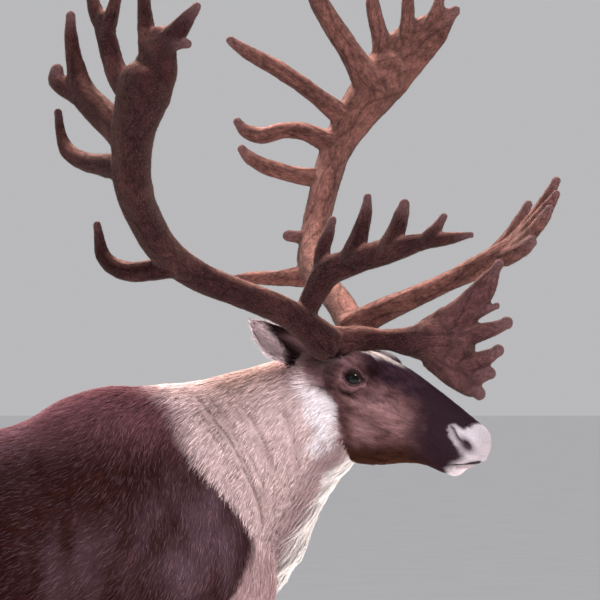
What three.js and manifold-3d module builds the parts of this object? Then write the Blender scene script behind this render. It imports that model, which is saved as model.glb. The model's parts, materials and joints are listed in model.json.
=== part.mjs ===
// A bull reindeer in late summer, antlers in velvet, standing still with its head turned to its right.
// Millimetres, +Z up, +X towards the head. The origin is on the floor under the middle of the animal.
import * as THREE from "three";
import { mergeVertices } from "three/addons/utils/BufferGeometryUtils.js";
import Module from "manifold-3d";

const wasm = await Module();
wasm.setup();

// Driving sizes
const WITHERS = 1250; // top of the shoulder hump over the floor
const RUMP = -1085; // rear of the buttocks behind the hump
const HEAD_TURN = THREE.MathUtils.degToRad(-25); // the neck turns the head to the right
const HEAD_DROP = THREE.MathUtils.degToRad(22); // the line from poll to nose falls
const NECK_FROM = 60; // where the neck starts to turn, ahead of the hump
const NECK_TURN_LENGTH = 300;
const GAP = 0.35; // air between pieces that touch
const EYE = { ahead: 97, out: 57, up: 35, radius: 17.5 }; // in the head's frame
const LID = 3.4; // thickness of an eyelid
const HOOF_HEIGHT = 62;

const ACROSS = new THREE.Vector3(0, 1, 0);
const AHEAD = new THREE.Vector3(1, 0, 0);
const UP = new THREE.Vector3(0, 0, 1);
const SIDES = { right: -1, left: 1 };

const vector = (x, y, z) => new THREE.Vector3(x, y, z);

// Colours and finishes
const FINISHES = {
  coat: { color: 0x4a3a35, roughness: 0.85 },
  mane: { color: 0xb5a497, roughness: 0.9 },
  face: { color: 0x5d4a45, roughness: 0.85 },
  velvet: { color: 0x6a4c3d, roughness: 0.95 },
  hoof: { color: 0x1f1b1a, roughness: 0.5 },
  eye: { color: 0x140d0a, roughness: 0.08 },
};

// The turn of the neck: where its crest is in plan, and which way it faces, at a distance along it.
function turnAt(distance) {
  const share = THREE.MathUtils.clamp(distance / NECK_TURN_LENGTH, 0, 1);
  const yaw = HEAD_TURN * share;
  const bend = HEAD_TURN / NECK_TURN_LENGTH;
  const inside = share * NECK_TURN_LENGTH;
  const beyond = distance - inside;
  return {
    yaw,
    x: NECK_FROM + Math.sin(bend * inside) / bend + beyond * Math.cos(yaw),
    y: (1 - Math.cos(bend * inside)) / bend + beyond * Math.sin(yaw),
  };
}

const POLL = turnAt(NECK_TURN_LENGTH);
const HEAD_FRAME = new THREE.Matrix4().compose(
  vector(POLL.x + 12 * Math.cos(HEAD_TURN), POLL.y + 12 * Math.sin(HEAD_TURN), WITHERS + 12),
  new THREE.Quaternion().setFromEuler(new THREE.Euler(0, HEAD_DROP, HEAD_TURN, "ZYX")),
  vector(1, 1, 1),
);
// The crown's frame is level: forward, left and up from the middle between the two burrs.
const CROWN_FRAME = new THREE.Matrix4().compose(
  vector(POLL.x + 64 * Math.cos(HEAD_TURN), POLL.y + 64 * Math.sin(HEAD_TURN), WITHERS + 61),
  new THREE.Quaternion().setFromEuler(new THREE.Euler(0, 0, HEAD_TURN, "ZYX")),
  vector(1, 1, 1),
);

// Every number of a row of stations, on a smooth curve through them; share runs from 0 to 1.
function between(stations, share) {
  const place = share * (stations.length - 1);
  const i = Math.min(Math.floor(place), stations.length - 2);
  const f = place - i;
  const near = (k) => stations[THREE.MathUtils.clamp(i + k, 0, stations.length - 1)];
  const [a, b, c, d] = [near(-1), near(0), near(1), near(2)];
  return Object.fromEntries(
    Object.keys(b).map((key) => [
      key,
      b[key] +
        0.5 * f * (c[key] - a[key]) +
        0.5 * f ** 2 * (2 * a[key] - 5 * b[key] + 4 * c[key] - d[key]) +
        0.5 * f ** 3 * (3 * b[key] - a[key] - 3 * c[key] + d[key]),
    ]),
  );
}

// A closed ring: half wide, up above and down below its centre, squarer as its powers rise over 2.
function oval(centre, across, upward, size, sides, grow = 0) {
  const { half, up, down = up, above = 2, below = above } = size;
  return Array.from({ length: sides }, (_, j) => {
    const angle = (2 * Math.PI * (j + 0.5)) / sides;
    const [c, s] = [Math.cos(angle), Math.sin(angle)];
    const power = 2 / (s > 0 ? above : below);
    const reach = (s > 0 ? up : down) + grow;
    return centre
      .clone()
      .addScaledVector(across, (half + grow) * Math.sign(c) * Math.abs(c) ** power)
      .addScaledVector(upward, reach * Math.sign(s) * Math.abs(s) ** power);
  });
}

// One closed solid over rings of equally many points; its ends may be pulled out to a point.
function skinOver(rings, { start, end, frame } = {}) {
  const sides = rings[0].length;
  const middle = (ring) =>
    ring.reduce((sum, p) => sum.add(p), vector(0, 0, 0)).divideScalar(sides);
  const points = [...rings.flat(), start ?? middle(rings[0]), end ?? middle(rings.at(-1))];
  const [first, last] = [rings.length * sides, rings.length * sides + 1];
  const faces = [];
  for (let j = 0; j < sides; j++) {
    const k = (j + 1) % sides;
    faces.push([first, k, j], [last, (rings.length - 1) * sides + j, (rings.length - 1) * sides + k]);
    for (let i = 0; i + 1 < rings.length; i++) {
      const [a, b] = [i * sides, (i + 1) * sides];
      faces.push([a + j, a + k, b + j], [a + k, b + k, b + j]);
    }
  }
  const geometry = new THREE.BufferGeometry().setFromPoints(points).setIndex(faces.flat());
  return solid(geometry, frame);
}

// A three.js geometry as a solid, in the frame given, facing outwards.
function solid(geometry, frame) {
  const bare = geometry.index ? geometry.toNonIndexed() : geometry.clone();
  const places = new THREE.BufferGeometry().setAttribute("position", bare.getAttribute("position"));
  if (frame) places.applyMatrix4(frame);
  const merged = mergeVertices(places, 1e-3);
  const made = (triVerts) =>
    new wasm.Manifold(
      new wasm.Mesh({ numProp: 3, vertProperties: merged.attributes.position.array, triVerts }),
    );
  const body = made(new Uint32Array(merged.index.array));
  return body.volume() > 0 ? body : made(new Uint32Array(merged.index.array).reverse());
}

const join = (solids) => solids.reduce((all, next) => all.add(next));

// The piece with its neighbours, each made a gap larger, cut away. Its largest body is kept.
function fit(piece, neighbours = []) {
  const cut = neighbours.reduce((rest, next) => rest.subtract(next), piece);
  return cut.decompose().reduce((a, b) => (a.volume() > b.volume() ? a : b));
}

function ball(radius, place, frame, squash = [1, 1, 1], segments = 10) {
  const geometry = new THREE.SphereGeometry(radius, segments, Math.round(segments * 0.66));
  geometry.rotateX(Math.PI / 2).scale(...squash).translate(...place);
  return solid(geometry, frame);
}

// The trunk, as upright sections from the buttocks to the breast
const TRUNK = [
  { x: RUMP, top: 1040, low: 902, half: 62, level: 975, above: 2, below: 2 },
  { x: -1042, top: 1092, low: 828, half: 128, level: 980, above: 2, below: 2 },
  { x: -945, top: 1136, low: 786, half: 178, level: 980, above: 1.9, below: 2 },
  { x: -795, top: 1158, low: 752, half: 206, level: 970, above: 1.8, below: 2.1 },
  { x: -610, top: 1158, low: 700, half: 238, level: 935, above: 1.8, below: 2.2 },
  { x: -385, top: 1152, low: 656, half: 260, level: 905, above: 1.8, below: 2.2 },
  { x: -200, top: 1171, low: 646, half: 248, level: 905, above: 1.8, below: 2.1 },
  { x: -90, top: 1226, low: 660, half: 224, level: 910, above: 1.7, below: 2 },
  { x: 0, top: WITHERS, low: 684, half: 200, level: 920, above: 1.65, below: 1.9 },
  { x: 90, top: 1228, low: 714, half: 182, level: 930, above: 1.8, below: 1.9 },
  { x: 180, top: 1152, low: 756, half: 160, level: 930, above: 2, below: 1.9 },
  { x: 250, top: 1050, low: 804, half: 124, level: 920, above: 2, below: 1.9 },
  { x: 288, top: 968, low: 852, half: 70, level: 905, above: 2, below: 2 },
];
const TRUNK_SIDES = 22;
const TRUNK_RINGS = 19;

function trunk(grow = 0) {
  const rings = Array.from({ length: TRUNK_RINGS }, (_, i) => {
    const s = between(TRUNK, i / (TRUNK_RINGS - 1));
    const size = { ...s, up: s.top - s.level, down: s.level - s.low };
    return oval(vector(s.x, 0, s.level), ACROSS, UP, size, TRUNK_SIDES, grow);
  });
  const [rear, breast] = [vector(RUMP - 14 - grow, 0, 972), vector(303 + grow, 0, 905)];
  return skinOver(rings, { start: rear, end: breast });
}

// Each leg, as level sections from the top of its shoulder or haunch to the hoof. The y is outward.
const FORELEG = [
  { z: 1196, x: 4, y: 66, long: 52, thick: 26 },
  { z: 1115, x: 44, y: 94, long: 108, thick: 48 },
  { z: 1020, x: 88, y: 120, long: 138, thick: 66 },
  { z: 925, x: 96, y: 136, long: 136, thick: 72 },
  { z: 840, x: 72, y: 142, long: 114, thick: 68 },
  { z: 755, x: 42, y: 142, long: 84, thick: 57 },
  { z: 660, x: 37, y: 136, long: 58, thick: 45 },
  { z: 560, x: 42, y: 129, long: 44, thick: 37 },
  { z: 470, x: 50, y: 124, long: 35, thick: 32 },
  { z: 415, x: 56, y: 122, long: 38, thick: 35 },
  { z: 360, x: 53, y: 121, long: 31, thick: 29 },
  { z: 290, x: 50, y: 120, long: 26, thick: 24 },
  { z: 205, x: 48, y: 120, long: 26, thick: 25 },
  { z: 150, x: 50, y: 120, long: 32, thick: 31 },
  { z: 105, x: 64, y: 120, long: 31, thick: 33 },
  { z: HOOF_HEIGHT, x: 80, y: 120, long: 36, thick: 41 },
];
const HINDLEG = [
  { z: 1105, x: -850, y: 72, long: 84, thick: 40 },
  { z: 1030, x: -872, y: 100, long: 148, thick: 72 },
  { z: 945, x: -870, y: 120, long: 172, thick: 82 },
  { z: 860, x: -846, y: 132, long: 168, thick: 82 },
  { z: 780, x: -824, y: 137, long: 138, thick: 71 },
  { z: 705, x: -842, y: 138, long: 94, thick: 58 },
  { z: 625, x: -885, y: 134, long: 64, thick: 45 },
  { z: 565, x: -920, y: 130, long: 49, thick: 36 },
  { z: 515, x: -940, y: 128, long: 46, thick: 34 },
  { z: 460, x: -934, y: 127, long: 37, thick: 31 },
  { z: 390, x: -926, y: 126, long: 29, thick: 26 },
  { z: 290, x: -916, y: 126, long: 26, thick: 24 },
  { z: 200, x: -908, y: 126, long: 27, thick: 26 },
  { z: 148, x: -904, y: 126, long: 33, thick: 31 },
  { z: 104, x: -888, y: 126, long: 32, thick: 33 },
  { z: HOOF_HEIGHT, x: -872, y: 126, long: 37, thick: 41 },
];
// Where each leg leaves the trunk, and how far its hoof is set forward of the standard stance.
const LEGS = {
  foreleg_right: { stations: FORELEG, side: SIDES.right, leaves: 5, step: 34 },
  foreleg_left: { stations: FORELEG, side: SIDES.left, leaves: 5, step: -52 },
  hindleg_right: { stations: HINDLEG, side: SIDES.right, leaves: 4, step: -46 },
  hindleg_left: { stations: HINDLEG, side: SIDES.left, leaves: 4, step: 58 },
};
const LEG_SIDES = 12;

// The stations of a leg with its hoof stepped forward or back, the more the lower they are.
function stepped({ stations, leaves, step }) {
  const top = stations[leaves].z;
  return stations.map((s) => ({ ...s, x: s.x + step * Math.max(0, 1 - s.z / top) }));
}

function legPart(leg, from, to, grow = 0) {
  const stations = stepped(leg).slice(from, to + 1);
  const rings = stations.map((s, i) => {
    const shift = i === 0 ? grow : i === stations.length - 1 ? -grow : 0;
    const centre = vector(s.x, leg.side * s.y, s.z + shift);
    return oval(centre, ACROSS, AHEAD, { half: s.thick, up: s.long, above: 2.1 }, LEG_SIDES, grow);
  });
  return skinOver(rings);
}

const torsoSolid = (grow = 0) =>
  join([trunk(grow), ...Object.values(LEGS).map((leg) => legPart(leg, 0, leg.leaves, grow))]);

// A foot: two broad claws that part towards the toes, and two dewclaws behind the pastern.
const CLAW = [
  { z: HOOF_HEIGHT - GAP, ahead: 4, long: 35, thick: 19, above: 2.2 },
  { z: 34, ahead: 13, long: 46, thick: 23, above: 2.3 },
  { z: 8, ahead: 20, long: 56, thick: 26, above: 2.4 },
  { z: 0, ahead: 20, long: 55, thick: 25.5, above: 2.4 },
];
const CLAW_SIDES = 10;
const CLAW_APART = 21; // of a claw's top from the middle of the foot
const CLAW_SPLAY = THREE.MathUtils.degToRad(9);

function claw(foot, hand) {
  const ahead = AHEAD.clone().applyAxisAngle(UP, hand * CLAW_SPLAY);
  const across = ACROSS.clone().applyAxisAngle(UP, hand * CLAW_SPLAY);
  const rings = CLAW.map((s) => {
    const spread = CLAW_APART + (HOOF_HEIGHT - s.z) * 0.1;
    const centre = vector(foot.x, foot.y + hand * spread, s.z).addScaledVector(ahead, s.ahead);
    return oval(centre, across, ahead, { half: s.thick, up: s.long, down: s.long * 0.8, above: s.above }, CLAW_SIDES);
  });
  return skinOver(rings);
}

function dewclaw(foot, hand) {
  const path = [
    [foot.x - 20, foot.y + hand * 22, 92],
    [foot.x - 46, foot.y + hand * 27, 62],
    [foot.x - 58, foot.y + hand * 29, 30],
  ];
  return branch({ path, wide: [13, 14, 8], thin: 0.75, flat: [1, 0, 0.5], sides: 6, step: 40 });
}

// Thin branches take fewer sides.
const sidesFor = (wide) => (Math.max(...wide) > 19 ? 8 : 6);

// A branch along a smooth path: half widths at its points, thinner by a share in the direction flat.
function branch({ path, wide, thin = 0.85, flat = [0, 1, 0], sides = sidesFor(wide), step = 60, from = 0, to = 1, blunt = true }, grow = 0, frame) {
  const curve = new THREE.CatmullRomCurve3(path.map((p) => vector(...p)), false, "centripetal");
  const widths = wide.map((r) => ({ r }));
  const count = Math.max(3, Math.ceil((curve.getLength() * (to - from)) / step) + 1);
  const rings = [];
  const ring = (centre, along, r) => {
    const across = vector(...flat).cross(along).normalize();
    const flatwise = along.clone().cross(across);
    rings.push(oval(centre, across, flatwise, { half: r, up: r * thin }, sides, grow));
  };
  for (let i = 0; i < count; i++) {
    const t = from + ((to - from) * i) / (count - 1);
    const share = curve.getUtoTmapping(t);
    ring(curve.getPoint(share), curve.getTangent(share), between(widths, share).r);
  }
  const along = curve.getTangentAt(to);
  const tip = curve.getPointAt(to);
  const last = wide.at(-1);
  if (!blunt || to < 1) {
    tip.addScaledVector(along, grow);
    return skinOver(rings, { frame });
  }
  ring(tip.clone().addScaledVector(along, last * 0.62), along, last * 0.7);
  return skinOver(rings, { end: tip.addScaledVector(along, last + grow), frame });
}

// The neck, as slanting sections from the breast to the throat. The crest's distance is counted from
// where the neck starts to turn, and lead is how far the throat's point is ahead of the crest's.
const NECK = [
  { at: -75, crest: 1238, lead: 285, throat: 826, half: 128, above: 1.9, below: 1.6 },
  { at: 0, crest: 1247, lead: 252, throat: 908, half: 146, above: 1.9, below: 1.6 },
  { at: 90, crest: 1256, lead: 206, throat: 985, half: 126, above: 1.9, below: 1.65 },
  { at: 180, crest: 1278, lead: 156, throat: 1050, half: 104, above: 2, below: 1.7 },
  { at: 260, crest: 1299, lead: 114, throat: 1104, half: 88, above: 2, below: 1.8 },
  { at: 318, crest: 1290, lead: 92, throat: 1134, half: 70, above: 2, below: 1.9 },
];
const NECK_SIDES = 18;
const NECK_RINGS = 10;

// The middle, the two directions and the size of the neck's section at a share of its length.
function neckSection(share) {
  const s = between(NECK, share);
  const { yaw, x, y } = turnAt(s.at);
  const crest = vector(x, y, s.crest);
  const throat = vector(x + s.lead * Math.cos(yaw), y + s.lead * Math.sin(yaw), s.throat);
  const upward = crest.clone().sub(throat);
  const depth = upward.length();
  const size = { half: s.half, up: depth * 0.46, down: depth * 0.54, above: s.above, below: s.below };
  const centre = throat.clone().addScaledVector(upward, 0.54);
  return { centre, across: vector(-Math.sin(yaw), Math.cos(yaw), 0), upward: upward.normalize(), size };
}

function neckSolid(grow = 0) {
  const rings = Array.from({ length: NECK_RINGS }, (_, i) => {
    const { centre, across, upward, size } = neckSection(i / (NECK_RINGS - 1));
    return oval(centre, across, upward, size, NECK_SIDES, grow);
  });
  return skinOver(rings);
}

// The mane: flat locks in rows down the throat to the breast, pointing down the neck. The lowest
// rows lie against the breast, where the throat line turns in.
const MANE = { rows: 10, columns: 5, from: 0.9, to: 0.04, spread: 1.0, length: 96, half: 21, thick: 5.5 };

function maneLocks() {
  const random = seeded(7);
  const locks = [];
  for (let row = 0; row < MANE.rows; row++) {
    const share = THREE.MathUtils.lerp(MANE.from, MANE.to, row / (MANE.rows - 1));
    const here = neckSection(share);
    const below = neckSection(Math.max(0, share - 0.08));
    const throatOf = (s) => s.centre.clone().addScaledVector(s.upward, -s.size.down);
    const fall = share > 0.1 ? throatOf(below).sub(throatOf(here)).normalize() : vector(-0.3, 0, -1);
    const lie = fall.normalize().lerp(vector(-0.25, 0, -1), 0.3).normalize();
    for (let column = 0; column < MANE.columns; column++) {
      const stagger = (row % 2) * 0.5 - 0.25;
      const aside = ((column + stagger) / (MANE.columns - 1) - 0.5) * 2 * MANE.spread;
      const [c, s] = [Math.sin(aside), -Math.cos(aside)];
      const out = vector(0, 0, 0).addScaledVector(here.across, c).addScaledVector(here.upward, s);
      const power = 2 / here.size.below;
      const root = here.centre
        .clone()
        .addScaledVector(here.across, here.size.half * Math.sign(c) * Math.abs(c) ** power)
        .addScaledVector(here.upward, -here.size.down * Math.abs(s) ** power);
      const length = MANE.length * (0.85 + 0.3 * random()) * (1 - 0.3 * Math.abs(aside));
      const lift = 15 + 8 * random();
      const path = [
        root.clone().addScaledVector(out, -13).addScaledVector(lie, -14),
        root.clone().addScaledVector(out, lift * 0.8).addScaledVector(lie, length * 0.42),
        root.clone().addScaledVector(out, lift * 0.9).addScaledVector(lie, length),
      ];
      locks.push(lock(path, out, MANE.half * (0.9 + 0.2 * random()), MANE.thick));
    }
  }
  return locks;
}

// A flat lock of hair that tapers from its root to its tip.
function lock(path, out, half, thick) {
  const curve = new THREE.QuadraticBezierCurve3(...path);
  const shape = [
    { t: 0, half: half * 0.8, thick },
    { t: 0.4, half, thick },
    { t: 0.75, half: half * 0.62, thick: thick * 0.7 },
  ];
  const rings = shape.map((s) => {
    const along = curve.getTangent(s.t);
    const across = out.clone().cross(along).normalize();
    const upward = along.clone().cross(across);
    return [1, 0, -1, 0].map((c, j) =>
      curve
        .getPoint(s.t)
        .addScaledVector(across, c * s.half)
        .addScaledVector(upward, [0, 1, 0, -1][j] * s.thick),
    );
  });
  return skinOver(rings, { end: curve.getPoint(1) });
}

function seeded(seed) {
  let state = seed;
  return () => {
    state = (state * 1664525 + 1013904223) % 4294967296;
    return state / 4294967296;
  };
}

// The head, as sections square to the line from poll to nose, in its own frame
const SKULL = [
  { at: -36, top: 24, low: -40, half: 38, level: -4, above: 2, below: 2 },
  { at: -14, top: 52, low: -78, half: 62, level: 4, above: 2, below: 1.9 },
  { at: 22, top: 67, low: -104, half: 70, level: 10, above: 2.1, below: 1.8 },
  { at: 62, top: 79, low: -116, half: 71, level: 18, above: 2.2, below: 1.8 },
  { at: 102, top: 85, low: -118, half: 70, level: 20, above: 2.2, below: 1.8 },
  { at: 142, top: 84, low: -113, half: 64, level: 4, above: 2.1, below: 1.8 },
  { at: 182, top: 80, low: -98, half: 57, level: -8, above: 2.1, below: 1.9 },
  { at: 222, top: 71, low: -79, half: 50, level: -10, above: 2.2, below: 2 },
  { at: 260, top: 61, low: -68, half: 46, level: -8, above: 2.3, below: 2.1 },
  { at: 296, top: 51, low: -66, half: 46, level: -6, above: 2.4, below: 2.2 },
  { at: 323, top: 44, low: -60, half: 46, level: -5, above: 2.4, below: 2.2 },
  { at: 343, top: 37, low: -43, half: 40, level: -3, above: 2.3, below: 2.1 },
  { at: 355, top: 24, low: -22, half: 28, level: 0, above: 2.2, below: 2 },
];
const SKULL_SIDES = 20;
const SKULL_RINGS = 19;

function skullSolid(grow = 0) {
  const rings = Array.from({ length: SKULL_RINGS }, (_, i) => {
    const s = between(SKULL, i / (SKULL_RINGS - 1));
    const size = { ...s, up: s.top - s.level, down: s.level - s.low };
    return oval(vector(s.at - (i === 0 ? grow : 0), 0, s.level), ACROSS, UP, size, SKULL_SIDES, grow);
  });
  return skinOver(rings, { end: vector(361 + grow, 0, 2), frame: HEAD_FRAME });
}

const MOUTH = { front: [370, -13], middle: [332, -37], corner: [284, -55], open: 1.8, deep: 8 };
const NOSTRIL = { path: [[303, 45, 31], [327, 46, 15], [349, 37, 2]], wide: [3.5, 6.5, 9] };

// The line between the lips, as a thin blade that goes in only as deep as the lips are thick
function mouthLine() {
  const [front, middle, corner] = [MOUTH.front, MOUTH.middle, MOUTH.corner];
  const blade = new THREE.Shape();
  blade.moveTo(front[0], front[1] + MOUTH.open);
  blade.quadraticCurveTo(middle[0], middle[1] + MOUTH.open, ...corner);
  blade.quadraticCurveTo(middle[0], middle[1] - MOUTH.open, front[0], front[1] - MOUTH.open);
  const width = 120;
  const geometry = new THREE.ExtrudeGeometry(blade, { depth: width, bevelEnabled: false, curveSegments: 5 });
  geometry.rotateX(Math.PI / 2).translate(0, width / 2, 0);
  return solid(geometry, HEAD_FRAME).subtract(skullSolid(-MOUTH.deep));
}

// The open part of the eye between its lids, an almond that points a little down to the nose
function lidOpening(side) {
  const [long, high, low] = [17.5, 9.5, 9];
  const almond = new THREE.Shape();
  almond.moveTo(-long, 0);
  almond.quadraticCurveTo(0, high * 2, long, -2);
  almond.quadraticCurveTo(0, -low * 2, -long, 0);
  const geometry = new THREE.ExtrudeGeometry(almond, { depth: 40, bevelEnabled: false, curveSegments: 5 });
  geometry.rotateX(Math.PI / 2).translate(0, side > 0 ? 40 : 0, 0);
  geometry.rotateY(0.1).translate(EYE.ahead, side * EYE.out, EYE.up);
  return solid(geometry, HEAD_FRAME);
}

const eyePlace = (side) => [EYE.ahead, side * EYE.out, EYE.up];
const PEDICLE = { wide: [34, 29, 27], thin: 0.92 };

// The antlers' beams start at the burr, and the skull's pedicle meets them there.
function pedicle(side, grow = 0) {
  const burr = vector(...mirrored(BEAMS.right.path[0], side));
  const next = vector(...mirrored(BEAMS.right.path[1], side));
  const down = burr.clone().sub(next).normalize();
  const path = [46, 24, -grow].map((d) => burr.clone().addScaledVector(down, d).toArray());
  return branch({ path, ...PEDICLE, blunt: false, sides: 10, step: 24 }, grow, CROWN_FRAME);
}

function headSolid(grow = 0) {
  const parts = [skullSolid(grow)];
  for (const side of Object.values(SIDES)) {
    parts.push(ball(30 + grow, [EYE.ahead - 2, side * 46, EYE.up + 3], HEAD_FRAME, [1.3, 0.8, 1]));
    parts.push(ball(26 + grow, [EYE.ahead + 3, side * 45, EYE.up + 26], HEAD_FRAME, [1.5, 0.75, 1]));
    parts.push(ball(EYE.radius + LID + grow, eyePlace(side), HEAD_FRAME, [1, 1, 1], 12));
    parts.push(pedicle(side, grow));
  }
  return join(parts);
}

// The head with its eye sockets, lids, nostrils and the line of its mouth
function carvedHead() {
  let head = headSolid();
  for (const side of Object.values(SIDES)) {
    const path = NOSTRIL.path.map(([a, w, h]) => [a, side * w, h]);
    head = head
      .subtract(ball(EYE.radius + GAP, eyePlace(side), HEAD_FRAME, [1, 1, 1], 12))
      .subtract(lidOpening(side))
      .subtract(branch({ path, wide: NOSTRIL.wide, thin: 0.8, step: 22 }, 0, HEAD_FRAME));
  }
  return fit(head, [mouthLine()]);
}

// An ear: a leaf that is hollow on the side it opens to, in the crown's frame
const EAR = {
  root: [-62, 50, -18],
  tip: [-117, 140, 50],
  opens: [0.77, 0.53, -0.37],
  stations: [
    { t: -0.08, half: 17, deep: 13, wall: 9 },
    { t: 0.12, half: 25, deep: 14, wall: 7 },
    { t: 0.34, half: 31, deep: 14, wall: 6 },
    { t: 0.58, half: 30, deep: 12, wall: 5.5 },
    { t: 0.8, half: 21, deep: 8, wall: 5 },
    { t: 0.95, half: 9, deep: 4, wall: 3.5 },
  ],
};
const EAR_POINTS = 7;

function ear(side) {
  const [root, tip] = [EAR.root, EAR.tip].map((p) => vector(...mirrored(p, side)));
  const along = tip.clone().sub(root);
  const direction = along.clone().normalize();
  const opens = vector(...mirrored(EAR.opens, side)).projectOnPlane(direction).normalize();
  const across = direction.clone().cross(opens);
  const rings = EAR.stations.map((s) => {
    const centre = root.clone().addScaledVector(along, s.t);
    const arc = (half, deep, j) => {
      const angle = THREE.MathUtils.lerp(-1.75, 1.75, j / (EAR_POINTS - 1));
      return centre
        .clone()
        .addScaledVector(across, half * Math.sin(angle))
        .addScaledVector(opens, -deep * Math.cos(angle));
    };
    const outer = Array.from({ length: EAR_POINTS }, (_, j) => arc(s.half, s.deep, j));
    const inner = Array.from({ length: EAR_POINTS }, (_, j) =>
      arc(s.half - s.wall, Math.max(0.5, s.deep - s.wall), EAR_POINTS - 1 - j),
    );
    return [...outer, ...inner];
  });
  return skinOver(rings, { end: tip, frame: CROWN_FRAME });
}

// A place in the crown's frame, written forward, outward and up, on the side asked for
function mirrored([forward, outward, up], side) {
  return [forward, side * outward, up];
}

// The antlers. Places are forward, outward and up from the middle between the burrs.
const BEAMS = {
  right: {
    path: [[1, 50, 3], [-19, 88, 33], [-55, 132, 67], [-112, 191, 99], [-167, 240, 127], [-204, 300, 171],
      [-217, 362, 231], [-215, 410, 288], [-201, 445, 349], [-181, 470, 400], [-152, 492, 454]],
    wide: [33, 30, 27, 26, 28, 31, 33, 36, 39, 44, 52],
    thin: 0.8, sides: 10, split: 0.47,
  },
  left: {
    path: [[0, 50, 3], [-21, 88, 33], [-59, 132, 70], [-116, 191, 107], [-187, 270, 152], [-214, 340, 206],
      [-220, 405, 301], [-213, 450, 377], [-192, 470, 423], [-167, 488, 465], [-140, 505, 511]],
    wide: [33, 30, 27, 26, 27, 27, 28, 32, 38, 44, 49],
    thin: 0.8, sides: 10, split: 0.47,
  },
};

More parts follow.
